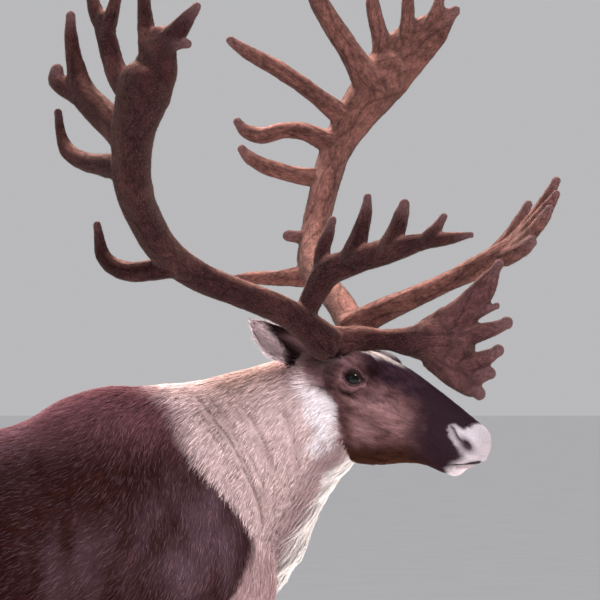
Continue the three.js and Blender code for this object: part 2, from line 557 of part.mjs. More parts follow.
// What grows on each antler: every group is one node, cut to sit on its beam.
const TINES = {
  right: {
    brow: [
      { path: [[-10, 42, 22], [47, 34, 20], [94, 20, 16], [134, 12, 13], [186, 6, 14]], wide: [26, 22, 20, 27, 44], thin: 0.6 },
      { path: [[172, 6, 22], [240, 5, 64], [283, 4, 113], [307, 3, 150]], wide: [34, 31, 22, 9], thin: 0.45 },
      { path: [[165, 6, 10], [212, 5, 5], [236, 4, 3]], wide: [42, 58, 24], thin: 0.26 },
      { path: [[185, 5, 0], [228, 4, -41], [255, 4, -68], [270, 4, -80]], wide: [40, 33, 22, 12], thin: 0.5 },
      { path: [[246, 4, 56], [303, 4, 76]], wide: [13, 7], thin: 0.9 },
      { path: [[232, 4, 20], [300, 4, 37], [322, 4, 46]], wide: [20, 11, 8], thin: 0.8 },
      { path: [[226, 4, -34], [288, 4, -13], [306, 4, -3]], wide: [18, 10, 8], thin: 0.8 },
      { path: [[240, 4, -62], [290, 4, -43]], wide: [15, 9], thin: 0.9 },
    ],
    bez: [
      { path: [[-42, 96, 38], [-8, 100, 98], [18, 105, 134], [70, 110, 154], [142, 115, 173], [216, 120, 190], [269, 122, 196], [306, 125, 201]],
        wide: [20, 23, 28, 25, 23, 16, 12, 8], thin: 0.75 },
      { path: [[10, 103, 140], [8, 100, 175], [19, 98, 207], [26, 97, 228]], wide: [20, 15, 12, 9], thin: 0.9 },
      { path: [[65, 108, 150], [83, 105, 205], [94, 104, 242], [97, 103, 268]], wide: [26, 17, 13, 9], thin: 0.85 },
      { path: [[142, 114, 170], [157, 110, 212], [166, 108, 240], [171, 108, 256]], wide: [24, 18, 15, 11], thin: 0.85 },
      { path: [[216, 120, 188], [240, 118, 217], [251, 116, 234]], wide: [16, 11, 8], thin: 0.9 },
    ],
    rear_tine: [{ path: [[-190, 288, 146], [-290, 290, 138], [-334, 285, 163], [-345, 290, 220]], wide: [22, 18, 15, 9] }],
    middle_tine: [{ path: [[-205, 435, 318], [-311, 395, 329], [-362, 375, 351], [-378, 368, 382], [-386, 362, 418]], wide: [26, 18, 15, 11, 9] }],
    upper_tine: [
      { path: [[-190, 462, 362], [-270, 425, 414], [-318, 402, 454], [-338, 393, 506], [-348, 388, 554], [-350, 385, 588]], wide: [33, 27, 25, 17, 13, 10] },
      { path: [[-298, 408, 436], [-348, 398, 457], [-373, 394, 476], [-372, 394, 492]], wide: [20, 18, 17, 13], thin: 0.95 },
    ],
    rear_crown: [
      { path: [[-165, 486, 436], [-211, 478, 479], [-234, 470, 532], [-246, 465, 576]], wide: [34, 22, 20, 20], thin: 0.7 },
      { path: [[-238, 468, 550], [-265, 460, 597], [-280, 452, 640]], wide: [17, 14, 9] },
      { path: [[-240, 468, 545], [-222, 472, 600], [-201, 478, 655]], wide: [17, 13, 9] },
    ],
    front_crown: [
      { path: [[-152, 492, 440], [-126, 499, 492], [-116, 503, 532]], wide: [47, 43, 32], thin: 0.5 },
      { path: [[-138, 502, 520], [-149, 498, 582], [-154, 493, 630], [-160, 488, 668]], wide: [20, 14, 12, 9] },
      { path: [[-126, 503, 518], [-91, 508, 543], [-62, 514, 571], [-38, 519, 594]], wide: [30, 23, 16, 10], thin: 0.7 },
      { path: [[-98, 508, 536], [-60, 512, 530]], wide: [20, 10] },
    ],
  },
  left: {
    brow: [{ path: [[-8, 44, 14], [44, 41, 15], [76, 38, 21]], wide: [18, 12, 8] }],
    bez: [
      { path: [[-30, 80, 32], [37, 88, 66], [95, 105, 92], [158, 118, 121], [223, 128, 153], [273, 132, 178]], wide: [28, 23, 20, 19, 21, 22], thin: 0.9 },
      { path: [[220, 138, 152], [256, 165, 201], [274, 172, 234], [285, 178, 258]], wide: [18, 14, 12, 9] },
      { path: [[262, 138, 172], [304, 142, 221], [333, 144, 262], [354, 146, 300]], wide: [20, 16, 13, 9] },
      { path: [[270, 132, 174], [326, 116, 226], [356, 109, 256], [372, 104, 276]], wide: [16, 14, 12, 9] },
      { path: [[270, 122, 168], [330, 93, 207], [358, 80, 233], [371, 74, 248]], wide: [16, 14, 12, 9] },
      { path: [[262, 122, 162], [315, 93, 180], [334, 80, 191]], wide: [18, 15, 12] },
    ],
    rear_tine: [{ path: [[-178, 262, 130], [-253, 255, 127], [-299, 245, 127], [-330, 238, 126]], wide: [22, 15, 12, 8] }],
    lower_tine: [{ path: [[-222, 420, 308], [-275, 390, 318], [-322, 372, 332], [-354, 362, 349], [-369, 356, 366]], wide: [20, 17, 16, 14, 9] }],
    middle_tine: [{ path: [[-212, 445, 368], [-261, 415, 396], [-301, 400, 401], [-341, 385, 391], [-369, 375, 400], [-384, 371, 416]], wide: [24, 18, 16, 16, 14, 10] }],
    upper_tine: [{ path: [[-190, 468, 412], [-235, 435, 452], [-267, 415, 481], [-308, 395, 512], [-363, 380, 543], [-399, 371, 568]], wide: [26, 19, 17, 16, 14, 10] }],
    rear_crown: [{ path: [[-150, 482, 466], [-189, 452, 542], [-219, 440, 592], [-246, 431, 638], [-263, 426, 672]], wide: [34, 23, 21, 18, 11] }],
    front_crown: [
      { path: [[-152, 496, 484], [-104, 515, 548], [-57, 522, 586], [-28, 526, 611], [-12, 529, 622]], wide: [48, 48, 35, 19, 11], thin: 0.45 },
      { path: [[-142, 502, 530], [-151, 495, 578], [-161, 490, 624], [-167, 486, 680]], wide: [26, 18, 15, 9] },
      { path: [[-104, 513, 560], [-99, 505, 602], [-97, 502, 640], [-96, 500, 672]], wide: [22, 15, 13, 9] },
      { path: [[-62, 522, 590], [-44, 518, 627], [-37, 516, 656]], wide: [18, 13, 9] },
    ],
  },
};
const NUB = { path: [[-215, 335, 200], [-252, 311, 205]], wide: [15, 12] };

const onSide = (spec, side) => ({ ...spec, path: spec.path.map((p) => mirrored(p, side)) });
const grown = (specs, side, grow) => join(specs.map((spec) => branch(onSide(spec, side), grow)));

// One antler, as its lower and upper beam and each of its groups of tines, in the crown's frame
function antler(hand) {
  const side = SIDES[hand];
  const beam = { ...BEAMS[hand], step: 48 };
  const skull = solidInCrown(headSolid(GAP));
  const nodes = {};
  const seam = 0.0004; // of the beam's length, between its two halves
  const halves = {
    lower_beam: { ...beam, to: beam.split },
    upper_beam: { ...beam, from: beam.split + seam },
  };
  for (const [name, half] of Object.entries(halves)) {
    let piece = branch(onSide(half, side));
    if (hand === "left" && name === "upper_beam") piece = piece.add(branch(onSide(NUB, side)));
    nodes[name] = fit(piece, [skull]);
  }
  const taken = [grown(Object.values(halves), side, GAP), skull];
  for (const [name, specs] of Object.entries(TINES[hand])) {
    nodes[name] = fit(grown(specs, side, 0), taken);
    taken.push(grown(specs, side, GAP));
  }
  return nodes;
}

// A solid of the animal's frame, seen from the crown's frame
function solidInCrown(body) {
  return body.transform(CROWN_FRAME.clone().invert().toArray());
}

function tail() {
  const path = [[-1052, 0, 1070], [-1104, 0, 1040], [-1130, 0, 985], [-1128, 0, 930]];
  return branch({ path, wide: [34, 36, 34, 16], thin: 0.6, flat: [1, 0, 0], sides: 10, step: 34 });
}

// A solid as a named three.js mesh
function node(name, body, finish) {
  const mesh = body.getMesh();
  const stride = mesh.numProp;
  const places = new Float32Array(mesh.numVert * 3);
  for (let i = 0; i < mesh.numVert; i++)
    places.set(mesh.vertProperties.subarray(i * stride, i * stride + 3), i * 3);
  const geometry = new THREE.BufferGeometry()
    .setAttribute("position", new THREE.BufferAttribute(places, 3))
    .setIndex(new THREE.BufferAttribute(mesh.triVerts, 1));
  geometry.computeVertexNormals();
  const made = new THREE.Mesh(geometry, new THREE.MeshStandardMaterial({ ...FINISHES[finish], metalness: 0 }));
  made.name = name;
  return made;
}

const animal = new THREE.Group();
const torsoAround = torsoSolid(GAP);
const headAround = headSolid(GAP);

animal.add(node("torso", fit(torsoSolid()), "coat"));
animal.add(node("head", carvedHead(), "face"));
animal.add(node("neck", fit(join([neckSolid(), ...maneLocks()]), [torsoAround, headAround]), "mane"));
animal.add(node("tail", fit(tail(), [torsoAround]), "coat"));

for (const [name, leg] of Object.entries(LEGS)) {
  const last = leg.stations.length - 1;
  const shank = legPart(leg, leg.leaves - 1, last);
  animal.add(node(name, fit(shank, [torsoAround]), "coat"));
  const end = stepped(leg)[last];
  const foot = { x: end.x, y: leg.side * end.y };
  const around = legPart(leg, leg.leaves - 1, last, GAP);
  for (const [place, hand] of Object.entries({ inner: -leg.side, outer: leg.side })) {
    animal.add(node(`${name}_claw_${place}`, fit(claw(foot, hand)), "hoof"));
    animal.add(node(`${name}_dewclaw_${place}`, fit(dewclaw(foot, hand), [around]), "hoof"));
  }
}

const crown = new THREE.Group();
crown.applyMatrix4(CROWN_FRAME);
animal.add(crown);
for (const [hand, side] of Object.entries(SIDES)) {
  animal.add(node(`ear_${hand}`, fit(ear(side), [headAround, neckSolid(GAP)]), "face"));
  animal.add(node(`eye_${hand}`, ball(EYE.radius, eyePlace(side), HEAD_FRAME, [1, 1, 1], 12), "eye"));
  for (const [name, body] of Object.entries(antler(hand))) {
    crown.add(node(`antler_${hand}_${name}`, body, "velvet"));
  }
}

// The origin goes to the floor under the middle of the animal.
const root = new THREE.Group();
root.add(animal);
root.updateMatrixWorld(true);
const extent = new THREE.Box3().setFromObject(root, true);
const middle = extent.getCenter(vector(0, 0, 0));
animal.position.set(-middle.x, -middle.y, -extent.min.z);

export default root;
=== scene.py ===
"""A bull reindeer in late summer, antlers in velvet, standing still with its head turned to its right.

The animal's own frame is in millimetres, +Z up and +X towards the head, with the hump over its origin.
Every mesh is made in that frame and set down in metres where the solids stand.
"""

import json
import logging
import math
from collections.abc import Callable
from dataclasses import dataclass, field
from enum import Enum

import bpy
import numpy as np
from mathutils import Matrix, Vector
from mathutils.kdtree import KDTree

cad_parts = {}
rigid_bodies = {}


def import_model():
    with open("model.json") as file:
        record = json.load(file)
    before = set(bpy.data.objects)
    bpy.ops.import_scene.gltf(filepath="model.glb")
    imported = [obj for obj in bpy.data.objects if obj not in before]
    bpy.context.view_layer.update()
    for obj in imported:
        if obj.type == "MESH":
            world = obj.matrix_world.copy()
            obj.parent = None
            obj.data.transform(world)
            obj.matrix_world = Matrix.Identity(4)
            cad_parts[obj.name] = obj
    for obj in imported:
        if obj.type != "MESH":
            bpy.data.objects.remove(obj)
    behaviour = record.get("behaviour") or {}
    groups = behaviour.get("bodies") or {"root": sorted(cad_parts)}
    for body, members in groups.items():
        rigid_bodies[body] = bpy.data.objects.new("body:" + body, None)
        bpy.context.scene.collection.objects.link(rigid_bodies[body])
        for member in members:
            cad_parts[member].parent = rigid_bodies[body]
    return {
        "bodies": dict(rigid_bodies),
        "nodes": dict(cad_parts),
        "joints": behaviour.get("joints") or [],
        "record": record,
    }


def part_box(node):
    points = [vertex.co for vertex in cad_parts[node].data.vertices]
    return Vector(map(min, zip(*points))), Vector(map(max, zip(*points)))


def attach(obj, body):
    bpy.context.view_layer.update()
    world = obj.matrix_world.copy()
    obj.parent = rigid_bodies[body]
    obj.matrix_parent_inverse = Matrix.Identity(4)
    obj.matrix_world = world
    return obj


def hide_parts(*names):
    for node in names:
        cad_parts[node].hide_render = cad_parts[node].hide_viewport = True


LOG = logging.getLogger("reindeer")
Array = np.ndarray
Piece = bpy.types.Object
Socket = bpy.types.NodeSocket

# Driving sizes, as in the solids
WITHERS = 1250.0
RUMP = -1085.0
HEAD_TURN = math.radians(-25)
HEAD_DROP = math.radians(22)
NECK_FROM = 60.0
NECK_TURN_LENGTH = 300.0
HOOF_HEIGHT = 62.0
EYE_PLACE = (97.0, 57.0, 35.0)
EYE_RADIUS = 17.5
SIDES = {"right": -1, "left": 1}
ACROSS = np.array([0.0, 1.0, 0.0])
AHEAD = np.array([1.0, 0.0, 0.0])
UP = np.array([0.0, 0.0, 1.0])
# Numbers that several pieces share
PATCH_SIZE = 0.0028
MAP_MARGIN = 0.01
BARE_SPACING = 1e3
NORMAL_LEAN = 2.2
CLOUD_CELLS = 32
BRANCH_STEP = 613


# Small sums on rows of vectors

def unit(rows: Array) -> Array:
    """Rows of vectors, each made one long."""
    return rows / np.maximum(np.linalg.norm(rows, axis=-1, keepdims=True), 1e-9)


def bell(distance: Array, width: float) -> Array:
    """A soft bump of height one, of that half width, over a distance."""
    return np.exp(-((distance / width) ** 2))


def mound(u: Array, v: Array, at: tuple[float, float], reach: tuple[float, float]) -> Array:
    """A soft round bump of height one over a plane, at a place and with a reach each way."""
    return np.exp(-(((u - at[0]) / reach[0]) ** 2) - ((v - at[1]) / reach[1]) ** 2)


def step(value: Array, low: float, high: float) -> Array:
    """A smooth rise from nought at the low value to one at the high one, which may be the lesser."""
    share = np.clip((value - low) / (np.asarray(high) - low), 0, 1)
    return share * share * (3 - 2 * share)


def dot(a: Array, b: Array) -> Array:
    """The product of two rows of vectors, one number a row."""
    return (a * b).sum(axis=-1)


def clouds(points: Array, size: float, seed: int) -> Array:
    """Smooth noise over points.

    Args:
        points: one place a row.
        size: how wide a lump of the noise is.
        seed: which noise it is.

    Returns:
        A number from -1 to 1 for each point.
    """
    table = np.random.default_rng(seed).uniform(-1, 1, (CLOUD_CELLS,) * 3)
    cell = np.asarray(points) / size
    base = np.floor(cell).astype(int)
    inside = cell - base
    inside = inside * inside * (3 - 2 * inside)
    total = np.zeros(len(cell))
    for corner in np.ndindex(2, 2, 2):
        weight = np.prod(np.where(np.array(corner) == 1, inside, 1 - inside), axis=1)
        i = (base + corner) % CLOUD_CELLS
        total += weight * table[i[:, 0], i[:, 1], i[:, 2]]
    return total


def from_line(places: Array, line: Array) -> tuple[Array, Array, Array]:
    """How far points of a plane lie from a bent line.

    Args:
        places: points of the plane, two numbers a row.
        line: the corners of the line, two numbers a row.

    Returns:
        The distance, which is positive on the line's left, the share along the line, and the
        plain distance past its ends.
    """
    best = np.full(len(places), 1e9)
    signed = np.zeros(len(places))
    share = np.zeros(len(places))
    past = np.zeros(len(places))
    spans = np.linalg.norm(np.diff(line, axis=0), axis=1)
    starts = np.concatenate([[0], np.cumsum(spans)])
    for k, (a, b) in enumerate(zip(line[:-1], line[1:])):
        way = (b - a) / spans[k]
        from_a = places - a
        along = from_a @ way
        held = np.clip(along, 0, spans[k])
        off = from_a - held[:, None] * way
        far = np.hypot(off[:, 0], off[:, 1])
        closer = far < best
        left = way[0] * from_a[:, 1] - way[1] * from_a[:, 0]
        best[closer] = far[closer]
        signed[closer] = (np.sign(left) * far)[closer]
        share[closer] = ((starts[k] + held) / starts[-1])[closer]
        past[closer] = np.abs(along - held)[closer]
    return signed, share, past


def bent(corners: tuple[tuple[float, float], ...], count: int = 14) -> Array:
    """A smooth line through a few corners."""
    return between(np.array(corners, float), np.linspace(0, 1, count))


def between(stations: Array, shares: Array) -> Array:
    """Every number of a row of stations, on a smooth curve through them.

    Args:
        stations: one station a row.
        shares: how far along the row, from 0 to 1.

    Returns:
        The numbers at each share, one row a share.
    """
    last = len(stations) - 1
    place = np.clip(shares, 0, 1) * last
    i = np.minimum(place.astype(int), last - 1)
    f = (place - i)[:, None]
    a, b, c, d = (stations[np.clip(i + k, 0, last)] for k in (-1, 0, 1, 2))
    return (
        b
        + 0.5 * f * (c - a)
        + 0.5 * f**2 * (2 * a - 5 * b + 4 * c - d)
        + 0.5 * f**3 * (3 * b - a - 3 * c + d)
    )


# The frames of the animal, its head and its crown

@dataclass(frozen=True)
class Frame:
    """A place and three directions: ahead, left and up."""

    origin: Array
    turn: Array

    def out(self, points: Array) -> Array:
        """Points of this frame as points of the animal's frame."""
        return np.asarray(points) @ self.turn.T + self.origin

    def into(self, points: Array) -> Array:
        """Points of the animal's frame as points of this frame."""
        return (np.asarray(points) - self.origin) @ self.turn


def turned(yaw: float, drop: float = 0.0) -> Array:
    """The turn by a yaw to the left, after a drop of the nose."""
    return np.array(Matrix.Rotation(yaw, 3, "Z") @ Matrix.Rotation(drop, 3, "Y"))


def turn_at(distance: Array) -> tuple[Array, Array, Array]:
    """The yaw and the place in plan of the neck's crest, at distances along it."""
    distance = np.asarray(distance, float)
    share = np.clip(distance / NECK_TURN_LENGTH, 0, 1)
    yaw = HEAD_TURN * share
    bend = HEAD_TURN / NECK_TURN_LENGTH
    inside = share * NECK_TURN_LENGTH
    beyond = distance - inside
    x = NECK_FROM + np.sin(bend * inside) / bend + beyond * np.cos(yaw)
    y = (1 - np.cos(bend * inside)) / bend + beyond * np.sin(yaw)
    return yaw, x, y


def poll_frame(ahead: float, above: float, drop: float) -> Frame:
    """A frame set ahead of the poll along the head, and above the hump's height."""
    _, x, y = turn_at(NECK_TURN_LENGTH)
    place = (x + ahead * math.cos(HEAD_TURN), y + ahead * math.sin(HEAD_TURN), WITHERS + above)
    return Frame(np.array(place, float), turned(HEAD_TURN, drop))


HEAD = poll_frame(12, 12, HEAD_DROP)
CROWN = poll_frame(64, 61, 0)


class Ground:
    """Where the animal's frame lies in the row's frame, found from the two eyes."""

    offset = np.zeros(3)

    @classmethod
    def find(cls) -> None:
        """Reads the place of the eyes of the solids."""
        eyes = [np.array((low + high) / 2) for low, high in (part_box(f"eye_{hand}") for hand in SIDES)]
        middle = HEAD.out([EYE_PLACE[0], 0, EYE_PLACE[2]])
        cls.offset = (eyes[0] + eyes[1]) / 2 * 1000 - middle

    @classmethod
    def down(cls, points: Array) -> Array:
        """Points of the animal's frame in millimetres, set down in the row's frame in metres."""
        return (np.asarray(points) + cls.offset) / 1000

    @classmethod
    def back(cls, points: Array) -> Array:
        """Points of the row's frame in metres, in the animal's frame in millimetres."""
        return np.asarray(points) * 1000 - cls.offset


# Making meshes

def choose(*pieces: Piece) -> None:
    """Selects only these pieces, and makes the first one active."""
    if bpy.context.object and bpy.context.object.mode != "OBJECT":
        bpy.ops.object.mode_set(mode="OBJECT")
    bpy.ops.object.select_all(action="DESELECT")
    for piece in pieces:
        piece.select_set(True)
    bpy.context.view_layer.objects.active = pieces[0]


def finished(piece: Piece, kind: str, **settings: object) -> Piece:
    """Gives a piece a modifier with its settings, and applies it."""
    modifier = piece.modifiers.new(kind.lower(), kind)
    for name, value in settings.items():
        setattr(modifier, name, value)
    choose(piece)
    bpy.ops.object.modifier_apply(modifier=modifier.name)
    return piece


def joined(name: str, pieces: list[Piece]) -> Piece:
    """Joins pieces to one of that name."""
    choose(*pieces)
    bpy.ops.object.join()
    piece = bpy.context.object
    piece.name = name
    piece.data.name = name
    return piece


def raw_places(piece: Piece) -> Array:
    """The vertices of a piece, as its mesh holds them."""
    flat = np.empty(len(piece.data.vertices) * 3)
    piece.data.vertices.foreach_get("co", flat)
    return flat.reshape(-1, 3)


def middles(piece: Piece) -> Array:
    """The middles of a piece's faces in the animal's frame."""
    flat = np.empty(len(piece.data.polygons) * 3, np.float32)
    piece.data.polygons.foreach_get("center", flat)
    return Ground.back(flat.reshape(-1, 3))


def pick_faces(piece: Piece, picked: Array) -> None:
    """Selects only the picked faces of a piece, and goes into edit mode."""
    choose(piece)
    mesh = piece.data
    bpy.context.tool_settings.mesh_select_mode = (False, False, True)
    mesh.vertices.foreach_set("select", np.zeros(len(mesh.vertices), bool))
    mesh.edges.foreach_set("select", np.zeros(len(mesh.edges), bool))
    mesh.polygons.foreach_set("select", picked)
    bpy.ops.object.mode_set(mode="EDIT")


def smooth(piece: Piece) -> Piece:
    """Shades a piece smooth."""
    choose(piece)
    bpy.ops.object.shade_smooth()
    return piece


def places(piece: Piece) -> Array:
    """The vertices of a piece in the animal's frame."""
    return Ground.back(raw_places(piece))


def set_places(piece: Piece, points: Array) -> None:
    """Moves the vertices of a piece to points of the animal's frame."""
    piece.data.vertices.foreach_set("co", Ground.down(points).ravel())
    piece.data.update()


def normals(piece: Piece) -> Array:
    """The normal at each vertex of a piece."""
    flat = np.empty(len(piece.data.vertices) * 3, np.float32)
    piece.data.vertex_normals.foreach_get("vector", flat)
    return flat.reshape(-1, 3).astype(float)


def edges(piece: Piece) -> Array:
    """The two ends of each edge of a piece."""
    flat = np.empty(len(piece.data.edges) * 2, np.int32)
    piece.data.edges.foreach_get("vertices", flat)
    return flat.reshape(-1, 2)


def eased(values: Array, ends: Array, weight: Array | float, rounds: int) -> Array:
    """Values of vertices carried towards their neighbours', each round by a weight."""
    a, b = ends.T
    count = len(values)
    columns = values.reshape(count, -1).copy()
    degree = np.maximum(np.bincount(a, minlength=count) + np.bincount(b, minlength=count), 1)
    share = np.broadcast_to(np.asarray(weight, float), (count,))
    for _ in range(rounds):
        for k in range(columns.shape[1]):
            column = columns[:, k]
            total = np.bincount(a, column[b], count) + np.bincount(b, column[a], count)
            columns[:, k] = column + share * (total / degree - column)
    return columns.reshape(values.shape)


def sheath(name: str, rings: Array) -> Piece:
    """A closed skin over rings of points, whose first and last rings are drawn together to poles.

    Args:
        name: what the piece is called.
        rings: points of the animal's frame, by ring, by place around it, by x, y and z.

    Returns:
        The piece, made from a grid whose rows are laid on the rings.
    """
    first, last = rings[:1].mean(axis=1, keepdims=True), rings[-1:].mean(axis=1, keepdims=True)
    rings = np.concatenate(
        [np.broadcast_to(first, rings[:1].shape), rings, np.broadcast_to(last, rings[:1].shape)]
    )
    laid = np.concatenate([rings, rings[:, :1]], axis=1)
    bpy.ops.object.select_all(action="DESELECT")
    bpy.ops.mesh.primitive_grid_add(x_subdivisions=rings.shape[1], y_subdivisions=len(rings) - 1, size=1)
    piece = bpy.context.object
    piece.name = name
    set_places(piece, laid.reshape(-1, 3))
    bpy.ops.object.mode_set(mode="EDIT")
    bpy.ops.mesh.select_all(action="SELECT")
    bpy.ops.mesh.remove_doubles(threshold=1e-6)
    bpy.ops.mesh.normals_make_consistent(inside=False)
    bpy.ops.object.mode_set(mode="OBJECT")
    return piece


def ellipsoid(
    name: str, centre: Array, radii: tuple[float, float, float], frame: Frame, fine: int = 32
) -> Piece:
    """A ball at a place of a frame, squashed along the frame's directions."""
    bpy.ops.object.select_all(action="DESELECT")
    bpy.ops.mesh.primitive_uv_sphere_add(segments=fine, ring_count=fine // 2, radius=1)
    piece = bpy.context.object
    piece.name = name
    set_places(piece, frame.out(raw_places(piece) * radii + np.asarray(centre)))
    return piece


def woven(name: str, points: Array, triangles: Array, tint: Array | None = None,
          map_points: Array | None = None, turn: Array | None = None) -> Piece:
    """A mesh from arrays.

    Args:
        name: what the piece is called.
        points: vertices in the animal's frame.
        triangles: three vertices a face.
        tint: a colour for each vertex, kept in the attribute tint.
        map_points: a place of the map OFBake for each vertex.
        turn: the way the skin faces under each vertex, which its own shading leans to.

    Returns:
        The piece, shaded smooth.
    """
    mesh = bpy.data.meshes.new(name)
    mesh.vertices.add(len(points))
    mesh.vertices.foreach_set("co", Ground.down(points).ravel())
    mesh.loops.add(triangles.size)
    mesh.loops.foreach_set("vertex_index", triangles.ravel().astype(np.int32))
    mesh.polygons.add(len(triangles))
    mesh.polygons.foreach_set("loop_start", np.arange(0, triangles.size, 3, dtype=np.int32))
    if map_points is not None:
        layer = mesh.uv_layers.new(name="OFBake")
        layer.data.foreach_set("uv", map_points[triangles.ravel()].ravel())
    mesh.update(calc_edges=True)
    piece = bpy.data.objects.new(name, mesh)
    bpy.context.scene.collection.objects.link(piece)
    if tint is not None:
        stained(piece, tint)
    mesh.shade_smooth()
    if turn is not None:
        mesh.normals_split_custom_set_from_vertices(
            unit(turn * NORMAL_LEAN + normals(piece)).astype(np.float32)
        )
    return piece


def stained(piece: Piece, tint: Array) -> None:
    """Gives each vertex of a piece its colour, as an attribute that the finish reads."""
    layer = piece.data.attributes.get("tint") or piece.data.attributes.new("tint", "FLOAT_COLOR", "POINT")
    rows = np.ones((len(tint), 4), np.float32)
    rows[:, :3] = tint
    layer.data.foreach_set("color", rows.ravel())


def grained(piece: Piece, grain: Array) -> None:
    """Gives each vertex a place along and across its fibres, as an attribute that the finish reads."""
    layer = piece.data.attributes.new("grain", "FLOAT_VECTOR", "POINT")
    layer.data.foreach_set("vector", np.asarray(grain, np.float32).ravel())


# Sleeves: what the limbs, the trunk, the head and the branches are made over

@dataclass
class Sleeve:
    """Sections along a limb, from its start to its end, with the frame of each."""

    name: str
    centre: Array
    across: Array
    upward: Array
    rings: Array

    @property
    def along(self) -> Array:
        """The direction of the limb at each section."""
        return unit(np.gradient(self.centre, axis=0))

    @property
    def distance(self) -> Array:
        """How far along the limb each section is."""
        steps = np.linalg.norm(np.diff(self.centre, axis=0), axis=1)
        return np.concatenate([[0], np.cumsum(steps)])


def ovals(
    centre: Array, across: Array, upward: Array, half: Array, up: Array, down: Array, above: Array,
    below: Array, sides: int
) -> Array:
    """Rings that are squarer as their powers rise over 2.

    Args:
        centre: the middle of each ring.
        across: the direction of each ring's width.
        upward: the direction of each ring's height.
        half: half the width.
        up: the height over the middle.
        down: the depth under it.
        above: the power of the upper half.
        below: the power of the lower half.
        sides: how many points a ring has.

    Returns:
        Points by ring, by place around it, by x, y and z.
    """
    angle = 2 * np.pi * (np.arange(sides) + 0.5) / sides
    c, s = np.cos(angle), np.sin(angle)
    power = np.where(s > 0, 2 / above[:, None], 2 / below[:, None])
    reach = np.where(s > 0, up[:, None], down[:, None])
    wide = half[:, None] * np.sign(c) * np.abs(c) ** power
    high = reach * np.sign(s) * np.abs(s) ** power
    return centre[:, None] + wide[..., None] * across[:, None] + high[..., None] * upward[:, None]


def each(vector: Array, count: int) -> Array:
    """The same vector in every row."""
    return np.broadcast_to(np.asarray(vector, float), (count, 3))


@dataclass(frozen=True)
class TrunkSizes:
    """The trunk: x, top, low, half width, level of the width, power above and power below."""

    depth: float = 5.0
    stations: tuple[tuple[float, ...], ...] = (
        (RUMP, 1040, 902, 62, 975, 2, 2),
        (-1042, 1092, 828, 128, 980, 2, 2),
        (-945, 1136, 786, 178, 980, 1.9, 2),
        (-795, 1158, 752, 206, 970, 1.8, 2.1),
        (-610, 1158, 700, 238, 935, 1.8, 2.2),
        (-385, 1152, 656, 260, 905, 1.8, 2.2),
        (-200, 1171, 646, 248, 905, 1.8, 2.1),
        (-90, 1226, 660, 224, 910, 1.7, 2),
        (0, WITHERS, 684, 200, 920, 1.65, 1.9),
        (90, 1228, 714, 182, 930, 1.8, 1.9),
        (180, 1152, 756, 160, 930, 2, 1.9),
        (250, 1050, 804, 124, 920, 2, 1.9),
        (288, 968, 852, 70, 905, 2, 2),
    )

    def sleeve(self) -> Sleeve:
        """The trunk's sections, closer by the coat's depth than the solid's."""
        s = between(np.array(self.stations, float), np.linspace(0, 1, 110)).T
        x, top, low, half, level, above, below = s
        centre = np.stack([x, 0 * x, level], axis=1)
        n = len(x)
        rings = ovals(centre, each(ACROSS, n), each(UP, n), half - self.depth, top - level - self.depth,
                      level - low - self.depth, above, below, 96)
        return Sleeve("trunk", centre, each(ACROSS, n), each(UP, n), rings)


@dataclass(frozen=True)
class LegSizes:
    """A leg: z, x, y outward, half length fore and aft, half width, of its level sections."""

    name: str
    side: int
    leaves: int
    stride: float
    stations: tuple[tuple[float, ...], ...]
    depth_high: float = 5.0
    depth_low: float = 2.6

    @property
    def stepped(self) -> Array:
        """The sections with the hoof set forward or back, the more the lower they are."""
        rows = np.array(self.stations, float)
        rows[:, 1] += self.stride * np.maximum(0, 1 - rows[:, 0] / rows[self.leaves, 0])
        return rows

    @property
    def foot(self) -> Array:
        """The middle of the hoof's top in plan."""
        return np.array([self.stepped[-1][1], self.side * self.stepped[-1][2]])

    def sleeve(self) -> Sleeve:
        """The leg's sections, from the shoulder or the haunch to the coronet."""
        z, x, y, long, thick = between(self.stepped, np.linspace(0, 1, 150)).T
        centre = np.stack([x, self.side * y, z], axis=1)
        depth = np.interp(z, [400, 800], [self.depth_low, self.depth_high])
        n, square = len(z), np.full(len(z), 2.1)
        rings = ovals(
            centre, each(ACROSS, n), each(AHEAD, n), thick - depth, long - depth, long - depth, square,
            square, 56
        )
        return Sleeve(self.name, centre, each(ACROSS, n), each(AHEAD, n), rings)


FORELEG = (
    (1196, 4, 66, 52, 26), (1115, 44, 94, 108, 48), (1020, 88, 120, 138, 66), (925, 96, 136, 136, 72),
    (840, 72, 142, 114, 68), (755, 42, 142, 84, 57), (660, 37, 136, 58, 45), (560, 42, 129, 44, 37),
    (470, 50, 124, 35, 32), (415, 56, 122, 38, 35), (360, 53, 121, 31, 29), (290, 50, 120, 26, 24),
    (205, 48, 120, 26, 25), (150, 50, 120, 32, 31), (105, 64, 120, 31, 33), (HOOF_HEIGHT, 80, 120, 36, 41),
)
HINDLEG = (
    (1105, -850, 72, 84, 40), (1030, -872, 100, 148, 72), (945, -870, 120, 172, 82),
    (860, -846, 132, 168, 82),
    (780, -824, 137, 138, 71), (705, -842, 138, 94, 58), (625, -885, 134, 64, 45), (565, -920, 130, 49, 36),
    (515, -940, 128, 46, 34), (460, -934, 127, 37, 31), (390, -926, 126, 29, 26), (290, -916, 126, 26, 24),
    (200, -908, 126, 27, 26), (148, -904, 126, 33, 31), (104, -888, 126, 32, 33),
    (HOOF_HEIGHT, -872, 126, 37, 41),
)
LEGS = (
    LegSizes("foreleg_right", -1, 5, 34, FORELEG),
    LegSizes("foreleg_left", 1, 5, -52, FORELEG),
    LegSizes("hindleg_right", -1, 4, -46, HINDLEG),
    LegSizes("hindleg_left", 1, 4, 58, HINDLEG),
)


